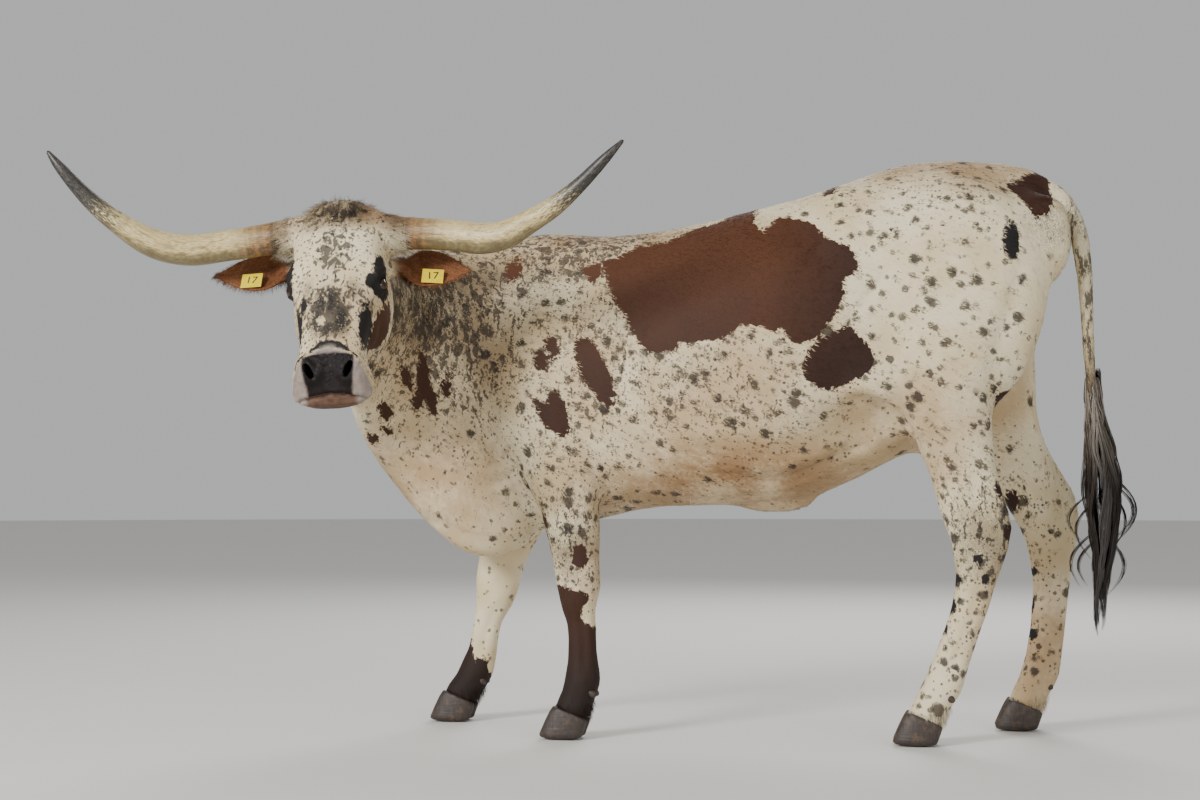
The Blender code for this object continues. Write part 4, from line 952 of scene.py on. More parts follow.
def markings_group():
    """The coat's colour from its marks, read at the root of each hair so that skin and hair agree."""
    coat = bpy.context.scene.longhorn_coat
    tree = bpy.data.node_groups.new("coat markings", "ShaderNodeTree")
    tree.interface.new_socket("Color", in_out="OUTPUT", socket_type="NodeSocketColor")
    node = partial(add, tree)
    root = node("Attribute", out="Vector", attribute_name="root")
    mark = {name: node("Attribute", out="Fac", attribute_name=name) for name in FIELDS}

    # Hair-fine grain of about 3 mm, patches of tone of 15 cm, and a wander of the edges.
    fine = node("TexNoise", {"Vector": root, "Scale": 330.0, "Detail": 1.0})
    broad = node("TexNoise", {"Vector": root, "Scale": 7.0, "Detail": 2.0})
    edge = node("TexNoise", {"Vector": root, "Scale": 75.0, "Detail": 3.0})
    wander = node("TexNoise", {"Vector": root, "Scale": 55.0, "Detail": 2.0}, out="Color")
    shift = node("VectorMath", (wander, (0.5, 0.5, 0.5)), **LESS)
    shift = node("VectorMath", {0: shift, "Scale": 0.020}, operation="SCALE")
    place = node("VectorMath", (root, shift), **PLUS)

    # The ground and its ochre tinge. Each layer is a share and the tone that it lays over what is below.
    tan = node("Math", (broad, node("Math", (edge, 0.5), **TIMES)), **PLUS)
    tan = node("Math", (mark["ochre"], node("MapRange", (tan, 0.45, 0.85), **SOFT)), **TIMES)
    layers = [
        (node("MapRange", (broad, 0.35, 0.68), **SOFT), colour("#D6C299")),
        (node("Math", (mark["ochre"], 0.55), **TIMES), colour("#C2A076")),
        (node("Math", (tan, 0.80), **TIMES), colour("#86603A")),
    ]

    # Spots of 16 to 35 mm, smaller ones of 10 to 22 mm, flecks of 5 to 12 mm and dots of 3 to 7 mm.
    for cells, kind, rarer, strength in SPOT_LAYERS:
        bent = node("VectorMath", {0: shift, "Scale": min(25.0 / cells, 1.0)}, operation="SCALE")
        spot = node("VectorMath", (root, bent), **PLUS)
        dots = node("TexVoronoi", {"Vector": spot, "Scale": cells}).node.outputs
        pick = node("SeparateColor", (dots["Color"],)).node.outputs
        there = node("Math", (node("Math", (mark[kind], pick[0]), **LESS), rarer), **PLUS)
        there = node("MapRange", (there, -0.03, 0.03), **SOFT)
        inside = node("Math", (node("Math", (pick[1], 0.20, 0.17), **TIMES_PLUS), dots["Distance"]), **LESS)
        inside = node("Math", (inside, node("Math", (fine, 0.20, -0.10), **TIMES_PLUS)), **PLUS)
        share = node("Math", (node("MapRange", (inside, -0.06, 0.10), **SOFT), there), **TIMES)
        tone = node("Mix", {0: pick[2], 6: colour("#151213"), 7: colour("#3D322A")}, **MIX)
        layers.append((node("Math", (share, strength), **TIMES), tone))

    # Roan streaks: grain drawn out along the fall of the hair. Soot darkens it in blotches.
    drawn = node("Mapping", {"Vector": place, "Scale": (1.0, 1.0, 0.30)})
    grain = node("TexNoise", {"Vector": drawn, "Scale": 95.0, "Detail": 3.0})
    limit = node("Math", (mark["streaks"], -0.26, 0.70), **TIMES_PLUS)
    share = node("MapRange", (node("Math", (grain, limit), **LESS), -0.02, 0.07), **SOFT)
    tone = node("Mix", {0: fine, 6: colour("#120F0E"), 7: colour("#463C35")}, **MIX)
    layers.append((node("Math", (share, 0.84), **TIMES), tone))
    haze = node("MapRange", (node("Math", (fine, broad), **PLUS), 0.70, 1.15), **SOFT)
    layers.append((node("Math", (mark["soot"], haze), **TIMES), colour("#1F1B19")))

    # Chestnut, lighter towards the back as painted light from above, and darker behind, below and in its
    # grain.
    across, _, height = node("SeparateXYZ", (root,)).node.outputs
    painted_top_light = node("MapRange", (node("Math", (broad, 0.25, height), **TIMES_PLUS), 0.98, 1.42), **SOFT)
    rear = node("Math", (node("MapRange", (across, 0.36, 0.62), **SOFT), 0.75), **TIMES)
    low = node("Math", (node("MapRange", (height, 0.34, 0.08), **SOFT), 0.9), **TIMES)
    brown = colour("#3A1F0F")
    for share, tone in (
        (painted_top_light, (*coat.chestnut, 1)),
        (rear, colour("#27120A")),
        (low, colour("#170E0A")),
        (node("Math", (fine, 0.40), **TIMES), colour("#26130A")),
    ):
        brown = node("Mix", {0: share, 6: brown, 7: tone}, **MIX)

    # The patches and the black marks, each with a hairy edge.
    hairy = node("Math", (fine, 0.006, -0.003), **TIMES_PLUS)
    for kind, ragged, reach, tone in (
        ("patch", 0.030, 0.0020, brown),
        ("black", 0.016, 0.0025, colour("#171312")),
    ):
        uneven = node("Math", (node("Math", (edge, ragged, -ragged / 2), **TIMES_PLUS), hairy), **PLUS)
        depth = node("Math", (mark[kind], uneven), **PLUS)
        layers.append((node("MapRange", (depth, -0.0015, reach), **SOFT), tone))

    # Ears, the pale muzzle, the lower lip and the bare nose.
    for kind, grain, dark, light in (
        ("ear", node("MapRange", (fine, 0.3, 0.7), **SOFT), "#663B22", "#8C5C38"),
        ("rim", edge, "#6E615A", "#A6988D"),
        ("lip", edge, "#2A1C16", "#745440"),
        ("pad", edge, "#0D0B0B", "#221A19"),
    ):
        tone = node("Mix", {0: grain, 6: colour(dark), 7: colour(light)}, **MIX)
        layers.append((mark[kind], tone))

    result = (*coat.cream, 1)
    for share, tone in layers:
        result = node("Mix", {0: share, 6: result, 7: tone}, **MIX)
    tree.links.new(result, tree.nodes.new("NodeGroupOutput").inputs[0])


def hide_material():
    """Cattle hide under short hair: matt and finely grained, with wet pebbled leather on the nose."""
    made, node, shader = new_material("haired hide")
    pad = node("Attribute", out="Fac", attribute_name="pad")
    root = node("Attribute", out="Vector", attribute_name="root")
    drawn = node("Mapping", {"Vector": root, "Scale": (1.0, 1.0, 0.35)})
    # Hair grain of 4 mm by 12 mm, and pebbles of 3.5 mm on the nose.
    hair = node("TexNoise", {"Vector": drawn, "Scale": 240.0, "Detail": 3.0})
    pebble = node("TexVoronoi", {"Vector": root, "Scale": 280.0}, feature="DISTANCE_TO_EDGE")
    pebble = node("MapRange", {"Value": pebble, "From Max": 0.25})
    relief = node("Mix", {0: pad, 2: hair, 3: pebble})
    feed(
        shader,
        {
            "Base Color": node("Group", node_tree=bpy.data.node_groups["coat markings"]),
            "Specular IOR Level": node("MapRange", {"Value": pad, "To Min": 0.35, "To Max": 0.14}),
            "Roughness": node("MapRange", {"Value": pad, "To Min": 0.72, "To Max": 0.34}),
            "Normal": node("Bump", {"Height": relief, "Strength": 0.5, "Distance": 0.0008}),
        },
    )
    return made


def hair_material():
    """Short cattle hair: soft gloss along the tips, each tuft a little lighter or darker."""
    made, node, shader = new_material("short cattle hair")
    marks = node("Group", node_tree=bpy.data.node_groups["coat markings"])
    tint = node("Attribute", out="Fac", attribute_name="tint")
    value = node("MapRange", {"Value": tint, "To Min": 0.86, "To Max": 1.12})
    varied = node("HueSaturation", {"Value": value, "Color": marks})
    feed(shader, {"Base Color": varied, "Roughness": 0.55, "Specular IOR Level": 0.22})
    return made


def build_skin():
    mesh = skin_mesh()
    points = vertices_of(mesh)
    outwards = sculpture(points) - coat_depth(points)
    put_points(mesh, points + normals_of(mesh) * outwards[:, None])
    points = vertices_of(mesh)
    attach(mesh, {**coat_fields(points), "root": points})
    mesh.shade_smooth()
    skin = placed("skin", mesh)
    finish_piece(skin, hide_material(), "coat", *BODY_NODES, "ear_left", "ear_right")
    return skin


def swept(rings):
    """A circle drawn on from ring to ring, closed with a face at each end."""
    bm = bmesh.new()
    first = bmesh.ops.create_circle(bm, segments=len(rings[0]), radius=1.0)
    loop = list(first["verts"])
    for vert, place in zip(loop, rings[0]):
        vert.co = place
    edges = bm.edges[:]
    bmesh.ops.contextual_create(bm, geom=edges)
    for ring in rings[1:]:
        grown = bmesh.ops.extrude_edge_only(bm, edges=edges)["geom"]
        fresh = {item for item in grown if isinstance(item, bmesh.types.BMVert)}
        edges = [
            item for item in grown if isinstance(item, bmesh.types.BMEdge) and fresh.issuperset(item.verts)
        ]
        partner = {}
        for vert in fresh:
            for edge in vert.link_edges:
                other = edge.other_vert(vert)
                if other not in fresh:
                    partner[other] = vert
        loop = [partner[vert] for vert in loop]
        for vert, place in zip(loop, ring):
            vert.co = place
    bmesh.ops.contextual_create(bm, geom=edges)
    bmesh.ops.recalc_face_normals(bm, faces=bm.faces)
    return bm


def tube_rings(centres, radii, segments):
    """Rings of points round a path, whose radius depends on the share of the way and the turn."""
    across = Vector((0, 1, 0.2))
    rings = []
    for i, centre in enumerate(centres):
        run = centres[min(i + 1, len(centres) - 1)] - centres[max(i - 1, 0)]
        other = run.cross(across).normalized()
        side = other.cross(run).normalized()
        ring = []
        for k in range(segments):
            turn = 2 * math.pi * k / segments
            radius = radii(i / (len(centres) - 1), turn)
            ring.append(centre + side * (radius * math.cos(turn)) + other * (radius * math.sin(turn)))
        rings.append(ring)
    return rings


def horn_material():
    """Horn keratin: polished by wear, ringed and stained near the head, black at the tip."""
    made, node, shader = new_material("horn keratin")
    along = node("Attribute", out="Fac", attribute_name="along")
    painted_underside_shade = node("Attribute", out="Fac", attribute_name="under")
    lay = node("Attribute", out="Vector", attribute_name="lay")
    # Fibres run the length of the horn, about 2 mm wide and 12 mm long.
    fibre = node("TexNoise", {"Vector": lay, "Scale": 9.0, "Detail": 4.0})
    stain = node("TexNoise", {"Vector": lay, "Scale": 2.2, "Detail": 3.0})
    ring = node("TexNoise", {"W": along, "Scale": 60.0, "Detail": 3.0}, noise_dimensions="1D")

    # The cream of the middle, stained in places, and darker on the underside, where the darkening is painted
    # shade.
    under = node("Math", (painted_underside_shade, node("Math", (stain, 0.6), **TIMES)), **PLUS)
    cream = colour("#D6C491")
    for share, tone in (
        (node("MapRange", (fibre, 0.35, 0.70), **SOFT), "#A68B50"),
        (node("Math", (node("MapRange", (stain, 0.50, 0.66), **SOFT), 0.55), **TIMES), "#77683F"),
        (node("Math", (node("MapRange", (under, 0.55, 1.15), **SOFT), 0.75), **TIMES), "#54492C"),
    ):
        cream = node("Mix", {0: share, 6: cream, 7: colour(tone)}, **MIX)

    # The rusty ringed root, and the dark tip that runs back along the fibres.
    fibrous = node("Math", (fibre, 0.5), **TIMES)
    worn = node("Math", (node("Math", (ring, 0.5), **TIMES), fibrous), **PLUS)
    worn = node("MapRange", (worn, 0.38, 0.60), **SOFT)
    rust = node("Mix", {0: worn, 6: colour("#96683A"), 7: colour("#4A2C16")}, **MIX)
    rust = node("Mix", {0: 0.15, 6: rust, 7: cream}, **MIX)
    base = node("Math", (along, node("Math", (stain, 0.22, -0.11), **TIMES_PLUS)), **PLUS)
    dark = node("Math", (along, node("Math", (fibre, 0.55, -0.27), **TIMES_PLUS)), **PLUS)
    streaked = node("MapRange", (fibre, 0.40, 0.65), **SOFT)
    tip = node("Mix", {0: streaked, 6: colour("#1C1A19"), 7: colour("#4A443C")}, **MIX)
    result = node("Mix", {0: node("MapRange", (base, 0.05, 0.20), **SOFT), 6: rust, 7: cream}, **MIX)
    result = node("Mix", {0: node("MapRange", (dark, 0.60, 0.74), **SOFT), 6: result, 7: tip}, **MIX)
    height = node("Math", (fibrous, node("Math", (ring, 0.8), **TIMES)), **PLUS)
    lump = node("Bump", {"Height": height, "Strength": 0.5, "Distance": 0.0012})
    feed(shader, {"Base Color": result, "Roughness": 0.42, "IOR": 1.54, "Normal": lump})
    return made


def build_horns():
    material = horn_material()
    for name, stations in (("horn_left", HORN_LEFT), ("horn_right", HORN_RIGHT)):
        rows = catmull_rom([(*place, radius) for place, radius in stations], 9)
        centres = [head_point(*row[:3]) for row in rows]
        widths = rows[:, 3]

        def radii(t, turn):
            base = np.interp(t, np.linspace(0, 1, len(widths)), widths)
            rough = math.exp(-max(t - 0.11, 0) / 0.08)
            ridge = 0.010 * math.sin(t * 260) * rough + 0.006 * math.sin(3 * turn + 9 * t) * (1 - t)
            swell = 0.030 * math.exp(-(((t - 0.125) / 0.02) ** 2))
            return base * (1 + ridge + swell) * (1.0 if t < 0.995 else 0.35)

        obj = object_of(name + "_keratin", swept(tube_rings(centres, radii, 40)))
        points = vertices_of(obj.data)
        path = np.array([list(c) for c in centres])
        near = ((points[:, None, :] - path[None]) ** 2).sum(axis=2).argmin(axis=1)
        away = points - path[near]
        length = np.concatenate([[0], np.cumsum(np.linalg.norm(np.diff(path, axis=0), axis=1))])
        along = length[near] / length[-1]
        lay = np.stack([away[:, 0] * 60, away[:, 1] * 60 + away[:, 2] * 60, length[near] * 9], axis=1)
        # How far below the horn's middle each point lies; it darkens the underside as painted shade.
        under = np.clip(-away[:, 2] / 0.03, -1, 1)
        attach(obj.data, {"along": along, "under": under, "lay": lay})
        obj.data.shade_smooth()
        finish_piece(obj, material, "horn", name)


def eye_material():
    """A wet dark eye: brown round a wide pupil, under a clear smooth surface."""
    made, node, shader = new_material("eye cornea")
    look = node("Attribute", out="Vector", attribute_name="look")
    wide = node("Mapping", {"Vector": look, "Scale": (0.55, 1.25, 0.0)})
    pupil = node("VectorMath", (wide,), out="Value", operation="LENGTH")
    disc = node("Mapping", {"Vector": look, "Scale": (1.0, 1.0, 0.0)})
    iris = node("VectorMath", (disc,), out="Value", operation="LENGTH")
    grain = node("TexNoise", {"Vector": look, "Scale": 18.0, "Detail": 2.0})
    brown = node("Mix", {0: grain, 6: colour("#241208"), 7: colour("#4A2A14")}, **MIX)
    edge = node("MapRange", (pupil, 0.26, 0.34))
    seen = node("Mix", {0: edge, 6: colour("#050404"), 7: brown}, **MIX)
    rim = node("MapRange", (iris, 0.74, 0.82))
    result = node("Mix", {0: rim, 6: seen, 7: colour("#2B211C")}, **MIX)
    feed(shader, {"Base Color": result, "Roughness": 0.06, "IOR": 1.376})
    feed(shader, {"Coat Weight": 0.6, "Coat Roughness": 0.03})
    return made


def build_eyes():
    material = eye_material()
    for name, side in (("eye_left", 1), ("eye_right", -1)):
        centre, gaze, slit, lift = eye_frame(side)
        bm = bmesh.new()
        bmesh.ops.create_uvsphere(bm, u_segments=40, v_segments=28, radius=1.0)
        look = np.array([list(vert.co) for vert in bm.verts])
        for vert, (u, v, w) in zip(bm.verts, look):
            bulge = 1.0 + 0.045 * max(w - 0.62, 0) / 0.38
            vert.co = centre + (slit * u + lift * v + gaze * w) * (EYE_RADIUS * bulge)
        bmesh.ops.recalc_face_normals(bm, faces=bm.faces)
        obj = object_of(name + "_ball", bm)
        attach(obj.data, {"look": look})
        obj.data.shade_smooth()
        finish_piece(obj, material, "eye", name)


def claw_material():
    """Hoof horn: dark and dull, ringed across and scratched down its wall."""
    made, node, shader = new_material("hoof horn")
    place = node("TexCoord", out="Object")
    rings = node("Mapping", {"Vector": place, "Scale": (12.0, 12.0, 240.0)})
    ring = node("TexNoise", {"Vector": rings, "Scale": 1.0, "Detail": 2.0})
    streaks = node("Mapping", {"Vector": place, "Scale": (260.0, 260.0, 20.0)})
    streak = node("TexNoise", {"Vector": streaks, "Scale": 1.0, "Detail": 3.0})
    dirt = node("TexNoise", {"Vector": place, "Scale": 55.0, "Detail": 3.0})
    tone = node("Mix", {0: streak, 6: colour("#171210"), 7: colour("#463830")}, **MIX)
    low = node("MapRange", (dirt, 0.50, 0.72))
    soil = node("Mix", {0: low, 6: tone, 7: colour("#54412F")}, **MIX)
    height = node("Math", (ring, streak), **PLUS)
    lump = node("Bump", {"Height": height, "Strength": 0.6, "Distance": 0.0012})
    feed(shader, {"Base Color": soil, "Roughness": 0.55, "IOR": 1.54, "Normal": lump})
    return made


def build_claws():
    """Each claw and dewclaw is its solid, merged and rounded by subdivision."""
    material = claw_material()
    for name in sorted(NODES):
        if not name.startswith(("claw", "dewclaw")):
            continue
        bm = solid_of(name)
        low = min(vert.co.z for vert in bm.verts)
        high = max(vert.co.z for vert in bm.verts)
        if name.startswith("claw"):
            level = [face for face in bm.faces if abs(face.normal.z) > 0.99]
            soles = [face for face in level if face.calc_center_median().z < low + 1e-4]
            bmesh.ops.dissolve_faces(bm, faces=soles)
            for vert in bm.verts:
                if vert.co.z > high - 0.045 and vert.co.z > low + 0.03:
                    vert.co.z += 0.004
        obj = object_of(name + "_horn", bm)
        modifier = obj.modifiers.new("rounded", "SUBSURF")
        modifier.levels = 2
        modifier.render_levels = 2
        mesh = evaluated_mesh(obj)
        obj.modifiers.clear()
        obj.data = mesh
        mesh.shade_smooth()
        finish_piece(obj, material, "claw_horn", name)


def tag_material():
    """Moulded polyurethane: yellow, slightly waxy, dulled by dust."""
    made, node, shader = new_material("moulded polyurethane")
    place = node("TexCoord", out="Object")
    dust = node("TexNoise", {"Vector": place, "Scale": 90.0, "Detail": 4.0})
    share = node("MapRange", {"Value": dust, "From Min": 0.45, "From Max": 0.75, "To Max": 0.35})
    tone = node("Mix", {0: share, 6: colour("#E9CE1E"), 7: colour("#B89A3A")}, **MIX)
    lump = node("Bump", {"Height": dust, "Strength": 0.25, "Distance": 0.0004})
    feed(shader, {"Base Color": tone, "Roughness": 0.45, "Normal": lump})
    return made


def build_tags():
    """Each tag is its solid with rounded edges, and a plain printed number on its face."""
    material = tag_material()
    ink, _, shader = new_material("printing ink")
    feed(shader, {"Base Color": colour("#1B1A18"), "Roughness": 0.5})
    outwards = head_axes()[2]
    for name in ("tag_left", "tag_right"):
        bm = solid_of(name)
        plate = max(bm.faces, key=lambda face: face.calc_area() * (face.normal.dot(outwards) > 0))
        facing = plate.normal.copy()
        flat = [face for face in bm.faces if face.normal.dot(facing) > 0.999]
        level = max(face.calc_center_median().dot(facing) for face in flat if face.calc_area() > 2e-5)
        corners = [vert.co.copy() for vert in bm.verts if abs(vert.co.dot(facing) - level) < 1e-4]
        middle = sum(corners, Vector()) / len(corners)
        edges = [edge for edge in bm.edges if edge.is_manifold and edge.calc_face_angle() > 1.2]
        bmesh.ops.bevel(bm, geom=edges, offset=0.0005, segments=2, profile=0.5, affect="EDGES", material=-1)
        finish_piece(object_of(name + "_plate", bm), material, "tag_plastic", name)

        words = bpy.data.curves.new(name + "_number", "FONT")
        words.body = TAG_NUMBER
        words.size = TAG_NUMBER_HEIGHT
        words.extrude = 0.00015
        words.align_x = "CENTER"
        words.align_y = "CENTER"
        text = placed(name + "_text", words)
        mesh = evaluated_mesh(text)
        bpy.data.objects.remove(text)
        up = (Vector((0, 0, 1)) - facing * facing.z).normalized()
        turned = Matrix((up.cross(facing), up, facing)).transposed().to_4x4()
        mesh.transform(Matrix.Translation(middle + facing * 0.0002) @ turned)
        finish_piece(placed(name + "_print", mesh), ink, "tag_plastic")


def scatter(mesh, density, seed):
    """Places on a mesh, so many to the square metre as its vertices say, with their normals."""
    rng = np.random.default_rng(seed)
    mesh.calc_loop_triangles()
    corners = np.empty(len(mesh.loop_triangles) * 3, dtype=np.int32)
    mesh.loop_triangles.foreach_get("vertices", corners)
    corners = corners.reshape(-1, 3)
    points = vertices_of(mesh)
    normals = normals_of(mesh)
    a, b, c = (points[corners[:, k]] for k in range(3))
    area = 0.5 * np.linalg.norm(np.cross(b - a, c - a), axis=1)
    weight = area * density(points)[corners].mean(axis=1)
    count = int(weight.sum())
    pick = rng.choice(len(corners), size=count, p=weight / weight.sum())
    first = np.sqrt(rng.random(count))
    second = rng.random(count)
    shares = np.stack([1 - first, first * (1 - second), first * second], axis=1)
    chosen = corners[pick]
    places = (points[chosen] * shares[:, :, None]).sum(axis=1)
    upright = unit((normals[chosen] * shares[:, :, None]).sum(axis=1))
    return places, upright, rng


def coat_lie(points, normals):
    """Which way the hair lies at each point, along the skin."""
    x, y, z = points.T
    lie = np.tile([0.90, 0.0, -0.42], (len(points), 1))
    neck = smooth(-0.08, -0.22, y - SPINE) * smooth(-0.30, -0.42, x)
    lie = lie * (1 - neck)[:, None] + np.array([0.45, 0.62, -0.62]) * neck[:, None]
    low = smooth(0.72, 0.56, z)
    lie = lie * (1 - low)[:, None] + np.array([0.20, 0.0, -1.0]) * low[:, None]
    behind = smooth(1.00, 1.12, x) * smooth(1.42, 1.36, z)
    lie = lie * (1 - behind)[:, None] + np.array([0.05, 0.0, -1.0]) * behind[:, None]
    share = head_share(points)[:, None]
    a, b, c = head_coordinates(points).T
    side = np.sign(a)
    flank = smooth(0.065, 0.095, np.abs(a)) * smooth(0.10, 0.16, b)
    away = np.stack([a * 1.6 * (1 - flank), (b - 0.075) * (1 - flank), -0.02 - 0.5 * flank], axis=1)
    away[:, 1] += 0.12 * flank
    ear = (smooth(0.115, 0.14, np.abs(a)) * smooth(-0.09, -0.11, c))[:, None]
    away = unit(away) * (1 - ear) + np.stack([side, 0.12 + 0 * a, 0 * a], axis=1) * ear
    lie = lie * (1 - share) + (unit(away) @ head_matrix()) * share
    lie = lie - normals * (lie * normals).sum(axis=1, keepdims=True)
    return unit(lie)


def strand_template(rings):
    """A three-sided spindle: its faces, and each vertex's level and place round the ring."""
    bm = bmesh.new()
    bmesh.ops.create_uvsphere(bm, u_segments=3, v_segments=rings + 1, radius=1.0)
    bmesh.ops.triangulate(bm, faces=bm.faces)
    bm.verts.ensure_lookup_table()
    points = np.array([list(vert.co) for vert in bm.verts])
    faces = np.array([[vert.index for vert in face.verts] for face in bm.faces])
    bm.free()
    level = np.rint(np.arccos(np.clip(-points[:, 2], -1, 1)) / math.pi * (rings + 1)).astype(int)
    ring = np.hypot(points[:, 0], points[:, 1])
    turn = np.where(ring[:, None] > 0.01, points[:, :2] / np.maximum(ring[:, None], 0.01), 0.0)
    return faces, level, turn


def unwrap(points):
    """The skin's own unwrap: trunk, head, legs, tail rolled out flat, each in its own tile."""
    x, y, z = points.T
    across = y - SPINE
    turn = np.arctan2(across, z - 0.95) / (2 * math.pi) + 0.5
    u = 0.02 + 0.96 * (x + 0.75) / 2.0
    v = 0.44 + 0.54 * turn
    for k, (side, front) in enumerate(((-1, 1), (1, 1), (-1, 0), (1, 0))):
        there = (z < 0.64) & (across * side > 0) & ((x < 0.3) == bool(front))
        middle = np.median(x[there]) if there.any() else 0.0
        around = np.arctan2(across - side * 0.18, x - middle) / (2 * math.pi) + 0.5
        u = np.where(there, 0.52 + 0.115 * k + 0.10 * around, u)
        v = np.where(there, 0.02 + 0.38 * z / 0.64, v)
    tail = (x > 1.13) & (z < 1.38)
    u = np.where(tail, 0.44 + 0.07 * (np.arctan2(across, x - 1.19) / (2 * math.pi) + 0.5), u)
    v = np.where(tail, 0.02 + 0.38 * (z - 0.2) / 1.2, v)
    a, b, c = head_coordinates(points).T
    on = head_share(points) > 0.5
    around = np.arctan2(a, c + 0.10) / (2 * math.pi) + 0.5
    u = np.where(on, 0.02 + 0.40 * around, u)
    v = np.where(on, 0.02 + 0.38 * np.clip((b + 0.12) / 0.70, 0, 1), v)
    return np.stack([np.clip(u, 0.005, 0.995), np.clip(v, 0.005, 0.995)], axis=1)


def strands(name, rings, centres, side, upright, width, thick, roots, fields, tint):
    """One mesh of many spindles along the paths given, marked as the skin is at their roots."""
    faces, level, turn = strand_template(rings)
    count = len(centres)
    shape = np.sin(np.pi * np.linspace(0, 1, rings + 2) ** 0.62)[level]
    spread = turn * shape[:, None]
    points = centres[:, level, :]
    points = points + side[:, None, :] * (spread[:, 0] * width[:, None] / 2)[:, :, None]
    points = points + upright[:, None, :] * (spread[:, 1] * thick[:, None] / 2)[:, :, None]
    size = len(level)
    every = (faces[None] + (np.arange(count) * size)[:, None, None]).reshape(-1, 3)
    mesh = bpy.data.meshes.new(name)
    mesh.vertices.add(count * size)
    mesh.vertices.foreach_set("co", points.ravel())
    mesh.loops.add(every.size)
    mesh.loops.foreach_set("vertex_index", every.astype(np.int32).ravel())
    mesh.polygons.add(len(every))
    mesh.polygons.foreach_set("loop_start", np.arange(len(every), dtype=np.int32) * 3)
    mesh.update(calc_edges=True)
    values = {key: np.repeat(array, size, axis=0) for key, array in fields.items()}
    values["root"] = np.repeat(roots, size, axis=0)
    values["tint"] = np.repeat(tint, size)
    values["along"] = np.tile(level / (rings + 1), count)
    attach(mesh, values)
    flat = unwrap(roots)
    offset = np.stack([spread[:, 0] * 0.5, level / (rings + 1) - 0.5], axis=1) * 0.003
    corner = (flat[:, None, :] + offset[None]).reshape(-1, 2)
    layer = mesh.uv_layers.new(name="OFBake")
    layer.data.foreach_set("uv", corner[every.ravel()].astype(np.float32).ravel())
    lean = spread[:, 0][None, :, None] * 0.45 * side[:, None, :]
    facing = unit(upright[:, None, :] + lean).reshape(-1, 3)
    mesh.normals_split_custom_set_from_vertices(facing.astype(np.float32))
    return placed(name, mesh)


def tuft_paths(roots, normals, lie, length, lift):
    """Paths that start in the skin, rise from it and lie over along the coat."""
    t = np.linspace(0, 1, 3)
    rise = 1.9 * t - 1.15 * t**2
    paths = roots[:, None, :] + lie[:, None, :] * (length[:, None] * t)[:, :, None]
    return paths + normals[:, None, :] * ((length * lift)[:, None] * rise - 0.0010)[:, :, None]


def region_of(points):
    """Which of REGIONS a tuft belongs to."""
    x, y, z = points.T
    region = np.where(x < 0.22, 0, np.where(x < 0.66, 1, 2))
    region = np.where(z < 0.62, 3, region)
    region = np.where((y - SPINE < -0.10) & (x < -0.34), 4, region)
    return np.where(head_share(points) > 0.5, 5, region)


def build_coat(skin):
    coat = bpy.context.scene.longhorn_coat

    def density(points):
        x, _, z = points.T
        share = head_share(points)
        value = coat.tufts * (1 + 0.9 * smooth(0.62, 0.50, z))
        value = value * (1 + 0.8 * smooth(1.14, 1.16, x))
        value = value * (1 - share) + 2.6 * coat.tufts * share
        fields = coat_fields(points)
        bare = np.clip(fields["pad"] + fields["lip"] * 0.6 + fields["rim"] * 0.35, 0, 1)
        return value * (1 - bare)

    roots, normals, rng = scatter(skin.data, density, 11)
    count = len(roots)
    share = head_share(roots)
    z = roots[:, 2]
    lie = unit(coat_lie(roots, normals) + 0.20 * rng.normal(size=roots.shape))
    lie = unit(lie - normals * (lie * normals).sum(axis=1, keepdims=True))
    scale = 1 - 0.40 * smooth(0.62, 0.48, z) - 0.15 * smooth(0.20, 0.08, z)
    scale = scale * (1 - share) + 0.48 * share
    length = coat.hair_length * scale * rng.uniform(0.75, 1.25, count)
    width = coat.hair_width * (0.45 + 0.55 * scale) * rng.uniform(0.8, 1.2, count)
    lift = 0.09 + 0.05 * rng.random(count)
    side = np.cross(normals, lie)
    tint = rng.random(count)
    paths = tuft_paths(roots, normals, lie, length, lift)
    fields = coat_fields(roots)
    region = region_of(roots)
    material = hair_material()
    for k, word in enumerate(REGIONS):
        at = np.flatnonzero(region == k)
        parts = max(1, math.ceil(len(at) * TUFT_TRIANGLES / PIECE_TRIANGLES))
        for part, some in enumerate(np.array_split(at, parts)):
            obj = strands(
                f"coat_{word}_{part}" if parts > 1 else f"coat_{word}",
                1,
                paths[some],
                side[some],
                normals[some],
                width[some],
                width[some] * 0.35,
                roots[some],
                {key: array[some] for key, array in fields.items()},
                tint[some],
            )
            finish_piece(obj, material, "coat")


